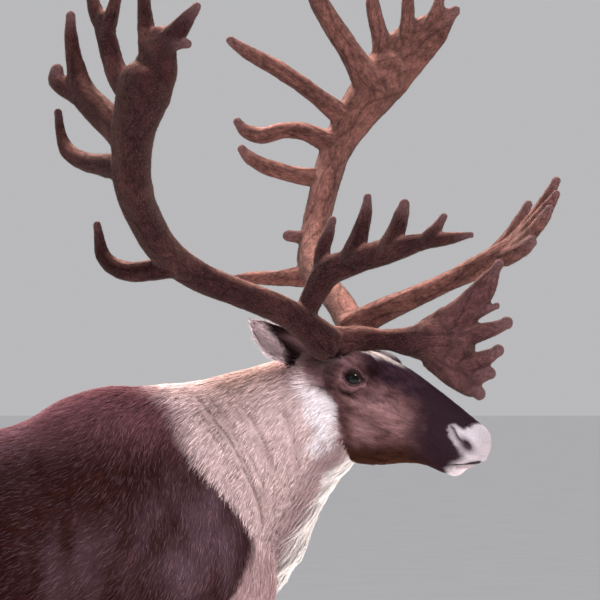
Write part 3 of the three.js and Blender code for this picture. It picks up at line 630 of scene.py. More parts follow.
@dataclass(frozen=True)
class NeckSizes:
    """The neck: distance along its turn, crest, lead of the throat, throat, half width and the powers."""

    depth: float = 6.0
    upper_share: float = 0.46
    stations: tuple[tuple[float, ...], ...] = (
        (-75, 1238, 285, 826, 128, 1.9, 1.6),
        (0, 1247, 252, 908, 146, 1.9, 1.6),
        (90, 1256, 206, 985, 126, 1.9, 1.65),
        (180, 1278, 156, 1050, 104, 2, 1.7),
        (260, 1299, 114, 1104, 88, 2, 1.8),
        (318, 1290, 92, 1134, 70, 2, 1.9),
    )

    def sections(self, shares: Array) -> tuple[Array, Array, Array, Array, Array, Array, Array]:
        """The middles, directions and sizes of the neck's slanting sections at shares of its length."""
        at, crest, lead, throat, half, above, below = between(np.array(self.stations, float), shares).T
        yaw, x, y = turn_at(at)
        top = np.stack([x, y, crest], axis=1)
        bottom = np.stack([x + lead * np.cos(yaw), y + lead * np.sin(yaw), throat], axis=1)
        depth = np.linalg.norm(top - bottom, axis=1)
        upward = unit(top - bottom)
        centre = bottom + (top - bottom) * (1 - self.upper_share)
        across = np.stack([-np.sin(yaw), np.cos(yaw), 0 * yaw], axis=1)
        return centre, across, upward, half, depth, above, below

    def sleeve(self) -> Sleeve:
        """The neck's sections, from the breast to the throat."""
        centre, across, upward, half, depth, above, below = self.sections(np.linspace(0, 1, 70))
        rings = ovals(centre, across, upward, half - self.depth, depth * self.upper_share - self.depth,
                      depth * (1 - self.upper_share) - self.depth, above, below, 96)
        return Sleeve("neck", centre, across, upward, rings)


@dataclass(frozen=True)
class SkullSizes:
    """The head: distance ahead, top, low, half width, level of the width, and the powers."""

    depth: float = 2.4
    stations: tuple[tuple[float, ...], ...] = (
        (-36, 24, -40, 38, -4, 2, 2),
        (-14, 52, -78, 62, 4, 2, 1.9),
        (22, 67, -104, 70, 10, 2.1, 1.8),
        (62, 79, -116, 71, 18, 2.2, 1.8),
        (102, 85, -118, 70, 20, 2.2, 1.8),
        (142, 84, -113, 64, 4, 2.1, 1.8),
        (182, 80, -98, 57, -8, 2.1, 1.9),
        (222, 71, -79, 50, -10, 2.2, 2),
        (260, 61, -68, 46, -8, 2.3, 2.1),
        (296, 51, -66, 46, -6, 2.4, 2.2),
        (323, 44, -60, 46, -5, 2.4, 2.2),
        (343, 37, -43, 40, -3, 2.3, 2.1),
        (355, 24, -22, 28, 0, 2.2, 2),
    )

    def sleeve(self) -> Sleeve:
        """The head's sections, from the poll to the nose."""
        rows = between(np.array(self.stations, float), np.linspace(0, 1, 110))
        at, top, low, half, level, above, below = rows.T
        n = len(at)
        local = np.stack([at, 0 * at, level], axis=1)
        rings = ovals(local, each(ACROSS, n), each(UP, n), half - self.depth, top - level - self.depth,
                      level - low - self.depth, above, below, 96)
        return Sleeve(
            "head", HEAD.out(local), each(HEAD.turn[:, 1], n), each(HEAD.turn[:, 2], n), HEAD.out(rings)
        )


@dataclass(frozen=True)
class EarSizes:
    """An ear, a leaf that is hollow on the side it opens to, in the crown's frame.

    Its stations give the share of its length, half its width, the bulge of its back and how far it
    is set towards its upper edge.
    """

    root: tuple[float, float, float] = (-62, 50, -18)
    tip: tuple[float, float, float] = (-117, 140, 50)
    opens: tuple[float, float, float] = (0.77, 0.53, -0.37)
    arc: float = 1.7
    wall: float = 9.0
    hollow: float = 9.0
    stations: tuple[tuple[float, ...], ...] = (
        (-0.08, 22, 16, 6),
        (0.12, 32, 18, 8),
        (0.34, 34, 17, 4),
        (0.58, 27, 14, -1),
        (0.8, 18, 10, 0),
        (0.97, 7, 6, 0),
    )

    def axes(self, hand: str) -> tuple[Array, Array, Array, Array]:
        """The root, the ways to the tip and the upper edge, and the way it opens, in the crown's frame."""
        side = np.array([1, SIDES[hand], 1])
        root, tip = np.array(self.root) * side, np.array(self.tip) * side
        direction = unit(tip - root)
        opens = np.array(self.opens) * side
        opens = unit(opens - direction * (opens @ direction))
        return root, tip - root, opens, np.cross(direction, opens) * -SIDES[hand]

    def sections(self, shares: Array) -> Array:
        """Half the width, the back's bulge and the offset, at shares of the length."""
        rows = np.array(self.stations)
        return np.stack([np.interp(shares, rows[:, 0], rows[:, k]) for k in (1, 2, 3)], axis=1)

    def place(self, points: Array, turn: Array, hand: str) -> tuple[Array, Array, Array]:
        """Where points are on an ear.

        Args:
            points: places in the animal's frame.
            turn: the normals there.
            hand: which ear.

        Returns:
            The share of the length, the place across from -1 at the lower edge to 1 at the upper one,
            and how far the place faces the way that the ear opens.
        """
        root, way, opens, across = self.axes(hand)
        off = CROWN.into(points) - root
        share = off @ way / (way @ way)
        half, _, shift = self.sections(share).T
        return share, (off @ across - shift) / half, (turn @ CROWN.turn) @ opens

    def sleeve(self, hand: str) -> Sleeve:
        """The ear's sections, as crescents from its root to its tip."""
        root, way, opens, across = self.axes(hand)
        t, half, deep, shift = between(np.array(self.stations, float), np.linspace(0, 1, 40)).T
        centre = root + t[:, None] * way + shift[:, None] * across
        angle = np.linspace(-self.arc, self.arc, 22)
        inner = np.maximum(0.5, deep - self.wall)

        def arc(wide: Array, bulge: Array, angles: Array) -> Array:
            """One side of the crescent."""
            sideways = wide[:, None, None] * np.sin(angles)[None, :, None] * across
            return centre[:, None] + sideways - bulge[:, None, None] * np.cos(angles)[None, :, None] * opens

        rings = np.concatenate([arc(half, deep, angle), arc(half * 0.86, inner, angle[::-1])], axis=1)
        n = len(t)
        return Sleeve(
            f"ear_{hand}", CROWN.out(centre), each(CROWN.turn @ across, n), each(CROWN.turn @ opens, n),
            CROWN.out(rings)
        )


@dataclass(frozen=True)
class Branch:
    """A tapering branch along a smooth path, thinner by a share in the direction flat."""

    path: tuple[tuple[float, float, float], ...]
    wide: tuple[float, ...]
    thin: float = 0.85
    flat: tuple[float, float, float] = (0, 1, 0)
    blunt: bool = True

    def curve(self, shares: Array) -> Array:
        """Places on the centripetal curve through the path's points."""
        points = np.array(self.path, float)
        points = np.concatenate([[2 * points[0] - points[1]], points, [2 * points[-1] - points[-2]]])
        last = len(self.path) - 1
        place = np.clip(shares, 0, 1) * last
        i = np.minimum(place.astype(int), last - 1)
        f = (place - i)[:, None]
        a, b, c, d = (points[i + k] for k in range(4))
        ab, bc, cd = (
            np.maximum(np.linalg.norm(q - p, axis=1, keepdims=True), 1e-6) ** 0.5
            for p, q in ((a, b), (b, c), (c, d))
        )
        start = ((b - a) / ab - (c - a) / (ab + bc) + (c - b) / bc) * bc
        end = ((c - b) / bc - (d - b) / (bc + cd) + (d - c) / cd) * bc
        return b + start * f + (3 * c - 3 * b - 2 * start - end) * f**2 + (2 * b - 2 * c + start + end) * f**3

    def sleeve(
        self, name: str, side: int, frame: Frame, grow: float = 0.0, sides: int = 28, pitch: float = 5.0
    ) -> Sleeve:
        """The branch's sections, with a round tip where it is blunt.

        Args:
            name: what the limb is called.
            side: 1 on the left and -1 on the right.
            frame: the frame that the path is written in.
            grow: how much larger than its sizes it is made.
            sides: how many points a section has.
            pitch: how far apart the sections are.

        Returns:
            The sleeve in the animal's frame.
        """
        rough = self.curve(np.linspace(0, 1, 100))
        length = np.linalg.norm(np.diff(rough, axis=0), axis=1).sum()
        shares = np.linspace(0, 1, max(8, int(length / pitch)))
        centre = self.curve(shares)
        along = unit(self.curve(shares + 1e-3) - self.curve(shares - 1e-3))
        wide = between(np.array(self.wide, float)[:, None], shares)[:, 0] + grow
        if self.blunt:
            dome = np.radians([18, 36, 52, 66, 78, 86])
            centre = np.concatenate([centre, centre[-1] + wide[-1] * np.sin(dome)[:, None] * along[-1]])
            along = np.concatenate([along, each(along[-1], len(dome))])
            wide = np.concatenate([wide, wide[-1] * np.cos(dome)])
        across = unit(np.cross(np.array(self.flat, float), along))
        flatwise = np.cross(along, across)
        mirror = np.array([1, side, 1])
        centre, across, flatwise = centre * mirror, across * mirror, flatwise * mirror
        two = np.full(len(wide), 2.0)
        rings = ovals(centre, across, flatwise, wide, wide * self.thin, wide * self.thin, two, two, sides)
        if side < 0:
            rings = rings[:, ::-1]
        return Sleeve(
            name, frame.out(centre), across @ frame.turn.T, flatwise @ frame.turn.T, frame.out(rings)
        )


ANIMAL = Frame(np.zeros(3), np.eye(3))
TAIL = Branch(
    ((-1052, 0, 1070), (-1104, 0, 1040), (-1130, 0, 985), (-1128, 0, 930)), (34, 36, 34, 16), 0.6, (1, 0, 0)
)


# Colours

def paint(red: int, green: int, blue: int) -> Array:
    """A colour as seen on a screen, from 0 to 255, as the light it gives back."""
    seen = np.array([red, green, blue]) / 255
    return np.where(seen <= 0.04045, seen / 12.92, ((seen + 0.055) / 1.055) ** 2.4)


class Paint(Enum):
    """A named colour."""

    @property
    def light(self) -> Array:
        """The colour as light given back."""
        return paint(*self.value)


class Shade(Paint):
    """The colours of the coat and of the bare parts, some of them painted sheen, painted light and painted
    shade.
    """

    FLANK = (45, 23, 21)
    # Painted light: the upper back, lighter as if lit from above
    LIT_BACK = (108, 72, 79)
    # Painted sheen: the light that the dark hair gives back on the shoulder and flank
    SHEEN = (126, 100, 114)
    BELLY = (150, 130, 124)
    RUMP_PATCH = (228, 220, 216)
    CHEST = (160, 130, 134)
    NECK = (212, 186, 188)
    # The grizzled flecks of the neck, and also the painted shade in its creases
    FLECK_AND_CREASE_SHADE = (112, 84, 82)
    CREST = (160, 130, 124)
    MANE = (238, 232, 232)
    CHEEK = (105, 74, 76)
    CHEEK_LIGHT = (156, 119, 122)
    CHEEK_DARK = (72, 46, 46)
    BRIDGE = (54, 37, 46)
    POLL = (36, 22, 25)
    MUZZLE = (49, 34, 41)
    NOSE = (212, 202, 211)
    JAW = (56, 33, 25)
    RING = (152, 116, 122)
    SHADOW = (32, 18, 21)
    PATCH = (232, 222, 230)
    BROW = (222, 212, 214)
    EAR = (224, 198, 206)
    EAR_HOLLOW = (38, 24, 26)
    LEG = (58, 38, 34)
    SOCK = (206, 196, 190)
    BARE = (24, 17, 18)
    LIP = (140, 116, 122)
    # Painted shade on the white nose and round the nostrils
    NOSE_SHADE = (158, 136, 150)


def mixed(base: Array, over: Array, share: Array) -> Array:
    """A colour laid over others by a share at each point."""
    return base + (over - base) * np.clip(share, 0, 1)[:, None]


# The head's lines: ahead and up in the head's frame, on either side
WHITE_EDGE = bent(((34, 26), (48, 8), (60, 0), (80, -20), (96, -46), (106, -72), (108, -112)))
BRIDGE_EDGE = bent(((64, 74), (108, 62), (131, 46), (170, 42), (203, 41), (240, 34)))
MUZZLE_REAR = bent(((222, 62), (232, 28), (238, -4), (243, -28), (260, -48), (286, -62)))
NOSE_EDGE = bent(((331, 64), (327, 40), (323, 29), (315, 26), (304, 29), (297, 28), (294, 20), (300, 10),
                  (311, 1), (324, -8), (333, -15), (334, -22), (322, -34), (312, -46), (307, -62)), 30)
JAW_EDGE = bent(((116, -94), (150, -80), (190, -62), (226, -42), (276, -42)))
LOW_FOLD = bent(((72, 16), (78, 9), (90, 5), (103, 7), (117, 17), (127, 28)))
HIGH_FOLD = bent(((77, 42), (86, 51), (98, 55), (111, 53), (120, 46)))
REAR_FOLD = bent(((52, 40), (58, 24), (68, 11)))
ORBIT_REAR = bent(((34, 44), (42, 26), (50, 12), (60, 2)))
CHEEK_CREASE = bent(((66, 12), (76, -2), (92, -13), (118, -21), (133, -28)))
SLIT = bent(((110, 39), (121, 37), (131, 34)))
SLIT_CREASE = bent(((131, 34), (146, 27), (166, 16)))
MOUTH_LINE = bent(((372, -12), (357, -18), (346, -26), (335, -33), (308, -44), (284, -55)))
NOSTRIL_LINE = bent(((296, 24), (305, 20), (313, 13), (320, 9), (329, 6)))
NOSTRIL_HOLE = (335.0, 4.5, 11.5, 6.5)
# The folds of the face: line, depth, half width
FACE_FOLDS = (
    (LOW_FOLD, 2.6, 2.8), (HIGH_FOLD, 1.8, 1.8), (REAR_FOLD, 1.8, 4.0), (ORBIT_REAR, 2.6, 4.5),
    (CHEEK_CREASE, 1.4, 3.6), (SLIT, 3.6, 1.9), (SLIT_CREASE, 0.8, 3.0),
)
# Rounded marks of the face: ahead, up, reach both ways, shade, strength
FACE_MARKS = (
    (68, 56, 15, 7, Shade.RING, 0.75), (86, 68, 22, 7, Shade.RING, 0.45),
    (112, -2, 15, 6, Shade.CHEEK_LIGHT, 0.85),
    (44, 2, 9, 16, Shade.RING, 0.4), (168, 2, 42, 22, Shade.CHEEK_LIGHT, 0.62),
    (147, -45, 26, 20, Shade.CHEEK_LIGHT, 0.7),
    (205, -12, 24, 20, Shade.CHEEK_LIGHT, 0.45), (148, 30, 12, 9, Shade.RING, 0.35),
    (30, 30, 22, 20, Shade.POLL, 0.7),
)
# Rounded painted shadows in the face's hollows, laid over the bridge too
FACE_SHADOWS = (
    (124, 56, 18, 17, Shade.SHADOW, 1.0), (60, -2, 14, 26, Shade.SHADOW, 0.8),
    (102, 4, 26, 5, Shade.SHADOW, 0.9),
    (52, 74, 20, 10, Shade.SHADOW, 0.85), (16, 66, 24, 14, Shade.SHADOW, 0.9),
    (104, -24, 18, 11, Shade.SHADOW, 0.4),
    (131, 18, 12, 10, Shade.SHADOW, 0.7), (50, 36, 13, 20, Shade.SHADOW, 0.55),
    (85, 60, 26, 4, Shade.CHEEK_DARK, 0.4),
)
# The body's lines: x and z in the animal's frame
COAT_EDGE = bent(((40, 1268), (74, 1249), (113, 1210), (129, 1163), (152, 1108), (191, 1060), (223, 1018),
                  (250, 972), (240, 920), (214, 878), (190, 820)))
# The folds of the turned neck: line, depth, half width
FOLDS = (
    (bent(((134, 1246), (174, 1192), (210, 1146), (242, 1091), (262, 1032), (265, 972))), 3.8, 3.6),
    (bent(((177, 1241), (213, 1176), (249, 1114), (269, 1059), (270, 1010))), 3.2, 3.0),
    (bent(((225, 1108), (249, 1060), (262, 1014))), 2.2, 2.6),
    (bent(((156, 1246), (196, 1186), (229, 1131), (250, 1080))), 2.2, 2.4),
    (bent(((145, 1247), (185, 1190), (214, 1150))), 1.4, 2.4),
    (bent(((166, 1244), (205, 1180), (236, 1125))), 1.4, 2.4),
    (bent(((222, 1232), (262, 1160), (290, 1085))), 1.6, 6.0),
    (bent(((300, 1215), (322, 1150), (330, 1080))), 1.4, 8.0),
)
FLANK_FOLDS = tuple(bent(((-198 + k, 1150), (-150 + k, 1122), (-118 + k, 1088), (-100 + k, 1040)))
                    for k in (0, -26, -50))


def head_places(points: Array) -> tuple[Array, Array, Array]:
    """Points in the head's frame, as the plane of its side, the distance outward, and the side."""
    local = HEAD.into(points)
    return local[:, [0, 2]], np.abs(local[:, 1]), np.sign(local[:, 1])


@dataclass(frozen=True)
class EyeForm:
    """One eye: its ball, and the almond between its lids in the eye's own frame."""

    hand: str
    long: float = 15.4
    high: float = 10.2
    low: float = 8.8
    middle: float = -1.4
    slant: float = -0.16
    forward: float = 0.28
    upward: float = 0.06

    @property
    def frame(self) -> Frame:
        """The eye's frame: towards the nose, outward and up, from the middle of the ball."""
        side = SIDES[self.hand]
        out = unit(np.array([self.forward, side, self.upward]))
        fore = AHEAD * math.cos(self.slant) - UP * math.sin(self.slant)
        fore = unit(fore - out * (fore @ out))
        up = np.cross(fore, out) * side
        local = np.stack([fore, out, up], axis=1)
        origin = HEAD.out(np.array(EYE_PLACE) * [1, side, 1])
        return Frame(origin, HEAD.turn @ local)

    def lid(self, ahead: Array, upper: bool) -> Array:
        """The height of a lid's edge, at places from the rear corner to the one near the nose."""
        x = np.clip((ahead - self.middle) / self.long, -1, 1)
        arch = np.maximum(1 - np.abs(x) ** 2.2, 0) ** 0.8
        return (self.high if upper else -self.low) * arch - 1.6 * np.maximum(x, 0) ** 2

    def gap(self, points: Array) -> tuple[Array, Array]:
        """How far inside the almond points are, and their places in the eye's frame."""
        local = self.frame.into(points)
        x, z = local[:, 0], local[:, 2]
        inside = np.minimum(self.lid(x, True) - z, z - self.lid(x, False))
        ends = self.long - np.abs(x - self.middle)
        return np.where(ends > 0, inside, np.minimum(ends, inside)), local


EYES = {hand: EyeForm(hand) for hand in SIDES}


@dataclass
class Surface:
    """The skin as arrays: its vertices, what grows there, and how."""

    points: Array
    normals: Array
    triangles: Array
    parts: Array
    names: list[str]
    lie: Array
    chart: Array
    length: Array = field(default_factory=lambda: np.zeros(0))
    spacing: Array = field(default_factory=lambda: np.zeros(0))
    lift: Array = field(default_factory=lambda: np.zeros(0))
    tint: Array = field(default_factory=lambda: np.zeros(0))

    def share(self, *starts: str) -> Array:
        """How much each vertex belongs to the parts whose names start so."""
        chosen = [k for k, name in enumerate(self.names) if name.startswith(starts)]
        return self.parts[:, chosen].sum(axis=1)


class Markings:
    """The colours of the coat, which the skin and the tufts share."""

    def body(self, points: Array, turn: Array) -> Array:
        """The dark coat of the trunk, from the hump to the rump, with its upper back painted lighter as
        painted light from above and a painted sheen on the shoulder, flank and back.

        Args:
            points: places on the trunk.
            turn: the normals there.

        Returns:
            A colour for each.
        """
        x, y, z = points.T
        tint = np.broadcast_to(Shade.FLANK.light, (len(points), 3))
        # Painted light: the upper back painted lighter towards the hump's top, as lit from above
        tint = mixed(tint, Shade.LIT_BACK.light, step(z, 1085, 1235) * 0.85)
        # Painted sheen: lighter lilac patches on the shoulder, flank and back where the hair catches the
        # light
        sheen = (
            bell(np.hypot(x - 150, (z - 970) * 0.8), 95) + 0.7 * bell(np.hypot(x + 60, (z - 915) * 0.9), 70)
        )
        sheen = (
            sheen + 0.5 * bell(np.hypot(x + 185, z - 1140), 75)
            + 0.4 * bell(np.hypot(x + 560, z - 1080), 150)
        )
        sheen = sheen * (0.7 + 0.9 * clouds(points * [1, 1, 0.4], 26, 2))
        tint = mixed(tint, Shade.SHEEN.light, sheen * 0.36)
        tint = tint * (1 + 0.16 * clouds(points, 90, 3) + 0.14 * clouds(points, 22, 4))[:, None]
        tint = mixed(
            tint, Shade.BELLY.light, step(-turn[:, 2], 0.6, 0.95) * step(x, 100, -60) * step(z, 820, 720)
        )
        rump = step(x, -1015, -1070) * step(np.abs(y), 100, 60) * step(z, 840, 900)
        return mixed(tint, Shade.RUMP_PATCH.light, rump)

    def neck(self, points: Array, turn: Array) -> Array:
        """The pale coat of the neck and breast, whitest down the mane, with painted shade in its creases and
        wrinkles.

        Args:
            points: places on the neck.
            turn: the normals there.

        Returns:
            A colour for each.
        """
        x, y, z = points.T
        tint = np.broadcast_to(Shade.NECK.light, (len(points), 3))
        grizzle = 0.12 * clouds(points * [1, 1, 0.6], 34, 5) + 0.10 * clouds(points * [1, 1, 0.5], 8, 6)
        tint = mixed(tint, Shade.FLECK_AND_CREASE_SHADE.light, 0.19 + grizzle)
        tint = mixed(tint, Shade.CREST.light, 0.8 * step(turn[:, 2], 0.2, 0.85) * step(x, 120, 240))
        low = np.interp(x, [283, 306, 326, 351, 373, 387, 440], [858, 930, 966, 1002, 1038, 1074, 1150]) - z
        tint = mixed(tint, Shade.CHEST.light, 0.85 * bell(low + 34, 44) * step(x, 270, 320))
        tint = mixed(tint, Shade.MANE.light, step(low + 10 * clouds(points, 20, 17), -8, 34))
        tint = mixed(tint, Shade.CHEST.light, step(z, 1000, 930) * step(x, 330, 275) * 0.85)
        # Painted shade: a dark line down each crease of the turned neck
        for line, depth, width in FOLDS:
            off, share, _ = from_line(points[:, [0, 2]], line)
            off = off + 2.5 * clouds(points, 16, 34)
            shadow = bell(off - 0.5, width * 0.55) * step(share, 0, 0.12) * step(share, 1, 0.8) * (y < 0)
            tint = mixed(
                tint, Shade.FLECK_AND_CREASE_SHADE.light * 0.8,
                shadow * (0.4 + depth / 9) * (0.75 + 0.5 * clouds(points, 20, 35))
            )
        fine = self.fine_folds(points)
        # Painted shade in the hollows of the small wrinkles
        return mixed(tint, Shade.FLECK_AND_CREASE_SHADE.light, np.maximum(0, -fine) * 0.75 * (y < 0))

    @staticmethod
    def fine_folds(points: Array) -> Array:
        """The small wrinkles that run along the deepest fold of the neck, from -1 in their hollows to 1."""
        off, share, _ = from_line(points[:, [0, 2]], FOLDS[0][0])
        waves = np.sin(off / 1.7 + 3 * clouds(points, 50, 34)) * (0.6 + 0.6 * clouds(points, 18, 36))
        return (
            (bell(off + 14, 24) + 0.6 * bell(off - 40, 30)) * waves * step(share, 0, 0.2)
            * step(share, 1, 0.7)
        )

    def leg(self, points: Array, turn: Array) -> Array:
        """The dark legs, paler inside and white above the hooves.

        Args:
            points: places on the legs.
            turn: the normals there.

        Returns:
            A colour for each.
        """
        z = points[:, 2]
        tint = np.broadcast_to(Shade.LEG.light, (len(points), 3))
        inner = step(-turn[:, 1] * np.sign(points[:, 1]), 0.2, 0.8) * step(z, 150, 500)
        tint = mixed(tint, Shade.BELLY.light, inner * 0.5)
        sock = step(z + 14 * clouds(points, 30, 8), 118, 84)
        tint = mixed(tint, Shade.SOCK.light, sock * 0.9)
        return tint * (1 + 0.12 * clouds(points, 40, 9))[:, None]

    def head(self, points: Array, turn: Array) -> Array:
        """The face: dark bridge and muzzle, mauve cheeks, white nose and a white patch behind the jaw, with
        painted shadows in its hollows and folds and painted shade on the nose and in the nostrils.

        Args:
            points: places on the head.
            turn: the normals there.

        Returns:
            A colour for each.
        """
        plane, outward, side = head_places(points)
        a, h = plane.T
        rough = clouds(points, 15, 13)
        tint = np.broadcast_to(Shade.CHEEK.light, (len(points), 3))
        jaw = from_line(plane, JAW_EDGE)[0]
        tint = mixed(tint, Shade.CHEEK_DARK.light, step(jaw + 8 * rough, 44, 8) * 0.55)
        for ahead, up, wide, high, shade, strength in FACE_MARKS:
            tint = mixed(tint, shade.light, strength * mound(a, h, (ahead, up), (wide, high)))
        white = from_line(plane, WHITE_EDGE)[0]
        tint = mixed(tint, Shade.CHEEK_DARK.light, bell(white - 12, 12) * step(h, -10, -50) * 0.7)
        top = from_line(plane, BRIDGE_EDGE)[0]
        tint = mixed(tint, Shade.BRIDGE.light, step(top + 6 * rough, -16, 14) * step(a, 70, 118))
        tint = mixed(tint, Shade.POLL.light, step(h, 52, 70) * step(a, 84, 40))
        tint = mixed(tint, Shade.JAW.light, step(jaw + 4 * rough, 12, -10) * step(a, 105, 135) * 0.95)
        # Painted shadows in the hollows by the eye, under the brow and on the cheek
        for ahead, up, wide, high, shade, strength in FACE_SHADOWS:
            tint = mixed(tint, shade.light, strength * mound(a, h, (ahead, up), (wide, high)))
        hairs = np.stack([a + 0.4 * h, 3.5 * outward, 3.5 * (h - 0.25 * a)], axis=1)
        streaks = 0.34 * clouds(hairs, 22, 11) + 0.28 * clouds(hairs, 9, 12)
        mottle = 0.16 * clouds(points, 26, 14) + 0.3 * clouds(hairs, 5, 17)
        tint = tint * (1 + streaks + mottle)[:, None]
        for line, depth, width in FACE_FOLDS:
            off, share, past = from_line(plane, line)
            shadow = bell(off, width * 1.3) * step(share, 0, 0.3) * step(share, 1, 0.6) * (past < width)
            tint = mixed(tint, Shade.SHADOW.light, shadow * min(0.6, depth / 6) * (outward > 30))
        tint = self.eye_rings(tint, points)
        tint = mixed(tint, Shade.MUZZLE.light, step(from_line(plane, MUZZLE_REAR)[0] + 12 * rough, -34, 22))
        ragged = from_line(plane, NOSE_EDGE)[0] + 2.5 * clouds(points, 7, 15)
        nose = step(ragged, -4, 4 + 8 * step(h, 4, -10)) * (a > 276)
        tint = mixed(tint, Shade.NOSE.light, nose)
        # Painted shade: grey-lilac over the white nose's lower part and rear
        tint = mixed(tint, Shade.NOSE_SHADE.light, 0.5 * nose * mound(a, h, (322, -14), (15, 14)))
        tint = mixed(tint, Shade.NOSE_SHADE.light, 0.5 * nose * step(a, 316, 300))
        lean = turn @ HEAD.turn[:, 1] * side
        brow = (
            step(h, 76, 82) * step(outward, 64, 56) * step(lean, 0.4, 0.0) * step(a, 82, 98)
            * step(a, 176, 146)
        )
        tint = mixed(tint, Shade.BROW.light, brow * 0.85)
        mouth, _, past = from_line(plane, MOUTH_LINE)
        tint = mixed(tint, Shade.LIP.light, bell(mouth - 4, 3) * (a > 326) * 0.7)
        tint = mixed(
            tint, Shade.BARE.light,
            bell(mouth, 1.0 + 1.6 * step(a, 335, 352)) * (past < 2) * step(a, 318, 330)
        )
        # Painted shade in the nostrils: grey-lilac round the slit and the hole, darker inside them
        slit, hole, _ = self.nostril(plane)
        within = (outward > 8) & (a > 285)
        soft = np.maximum(step(hole, 2.2, 0.9), 0.8 * step(slit, 3.4, 0.8))
        tint = mixed(tint, Shade.NOSE_SHADE.light * 0.55, 0.8 * soft * within)
        dark = np.maximum(0.7 * step(slit, 1.3, 0.4), 0.85 * step(hole, 1.15, 0.6)) * within
        return mixed(tint, Shade.MUZZLE.light * 1.5, dark)

    @staticmethod
    def nostril(plane: Array) -> tuple[Array, Array, Array]:
        """How near places are to a nostril.

        Args:
            plane: ahead and up in the head's frame.

        Returns:
            The distance from its slit and from its hole, both one at their edges, and the distance
            from the nearer edge in millimetres.
        """
        off, share, past = from_line(plane, NOSTRIL_LINE)
        width = 1.2 + 1.6 * share
        reach = np.hypot(off, past)
        ahead, up, wide, high = NOSTRIL_HOLE
        x, z = plane[:, 0] - ahead, plane[:, 1] - up
        hole = np.hypot((0.9 * x - 0.43 * z) / wide, (0.43 * x + 0.9 * z) / high)
        return reach / width, hole, np.minimum(reach - width, (hole - 1) * high)

    @staticmethod
    def eye_rings(tint: Array, points: Array) -> Array:
        """Colours the lids: their bare dark edge, the pale rolls over and under it and the shade between."""
        for form in EYES.values():
            inside, local = form.gap(points)
            off, low = -inside, step(local[:, 2], 3, -3)
            near = (local[:, 1] > 0) & (np.linalg.norm(local, axis=1) < 60)
            tint = mixed(tint, Shade.SHADOW.light, bell(off - 3.2, 2.4) * near * 0.6)
            tint = mixed(tint, Shade.RING.light, bell(off - 7.6, 2.6) * near * low * 0.75)
            tint = mixed(tint, Shade.RING.light, bell(off - 9.0, 2.4) * near * (1 - low) * 0.25)
            tint = mixed(tint, Shade.RING.light, bell(off - 2.4, 0.9) * near * low * 0.6)
            tint = mixed(tint, Shade.BARE.light, step(off, 1.3, 0.5) * near)
        return tint

    def ear(self, points: Array, turn: Array, hand: str) -> Array:
        """An ear: pale behind and at its edges, dark in the hollow's front, with a pale fringe at its rear.

        Args:
            points: places on the ear.
            turn: the normals there.
            hand: which ear.

        Returns:
            A colour for each.
        """
        sizes = EarSizes()
        share, aside, within = sizes.place(points, turn, hand)
        tint = mixed(
            np.broadcast_to(Shade.EAR.light, (len(points), 3)), Shade.POLL.light, step(share, 0.2, 0.04)
        )
        line = np.interp(share, [0.0, 0.16, 0.35, 0.635, 0.91], [-0.5, -0.3, 0.0, 0.6, 0.95])
        dark = step(within, 0.05, 0.45) * step(aside - line, -0.1, 0.14) * step(aside, 1.0, 0.86)
        tint = mixed(tint, Shade.EAR_HOLLOW.light, dark)
        grey = dark * bell(share - 0.1, 0.22) * bell(aside - 0.55, 0.35)
        tint = mixed(tint, Shade.RING.light, grey * 0.8)
        return mixed(tint, Shade.POLL.light, step(share, 0.94, 1.0) * step(aside, -0.2, 0.6) * 0.6)

    def over(self, tint: Array, share: Array, surface: Surface, maker: object, *more: str) -> Array:
        """Lays a part's colours over the rest.

        Args:
            tint: the colours so far.
            share: how much of the part each vertex is.
            surface: the skin.
            maker: the method that gives the part's colours.
            more: what the method is also given.

        Returns:
            The colours.
        """
        mine = share > 0.003
        laid = maker(surface.points[mine], surface.normals[mine], *more)
        tint[mine] = mixed(tint[mine], laid, share[mine])
        return tint

    def of(self, surface: Surface) -> Array:
        """The colour of every vertex of the skin."""
        points = surface.points
        tint = self.body(points, surface.normals)
        edge = from_line(points[:, [0, 2]], COAT_EDGE)[0]
        soft = np.interp(points[:, 2], [980, 1080, 1200], [5, 10, 30])
        ragged = edge + 6 * clouds(points, 18, 21) + 4 * clouds(points, 6, 22)
        pale = step(ragged, -soft, soft) * step(points[:, 0], 0, 60) * step(points[:, 2], 780, 830)
        tint = self.over(tint, pale, surface, self.neck)
        legs = surface.share("foreleg", "hindleg") * step(points[:, 2], 820, 640)
        tint = self.over(tint, legs, surface, self.leg)
        plane, outward, _ = head_places(points)
        white = from_line(plane, WHITE_EDGE)[0]
        high = step(plane[:, 1], -15, 25)
        head = surface.share("head") * step(white, -20 - 35 * high, -5 - 20 * high)
        tint = self.over(tint, head, surface, self.head)
        ragged = white + 5 * clouds(points, 10, 16) + 8 * clouds(points, 30, 18)
        tint = mixed(tint, Shade.CHEST.light * 0.7,
                     0.8 * bell(white + 66, 26) * step(plane[:, 1], -60, 20) * step(plane[:, 1], 70, 40)
                     * step(outward, 20, 45) * surface.share("neck", "head"))
        patch = (
            step(ragged, 3, -6) * step(ragged, -58, -34)
            * step(plane[:, 1] + 6 * clouds(points, 15, 13), 4, -22)
        )
        tint = mixed(tint, Shade.PATCH.light, patch * step(plane[:, 1], -126, -108) * step(outward, 20, 45))
        for hand in SIDES:
            tint = self.over(tint, 1.6 * surface.share(f"ear_{hand}"), surface, self.ear, hand)
        tint = mixed(tint, Shade.POLL.light * 0.8, 2.5 * surface.share("pedicle"))
        under = step(surface.normals[:, 0], -0.1, 0.4) + step(points[:, 2], 960, 930)
        tail = mixed(tint * 0 + Shade.FLANK.light, Shade.RUMP_PATCH.light, under)
        return mixed(tint, tail, surface.share("tail"))


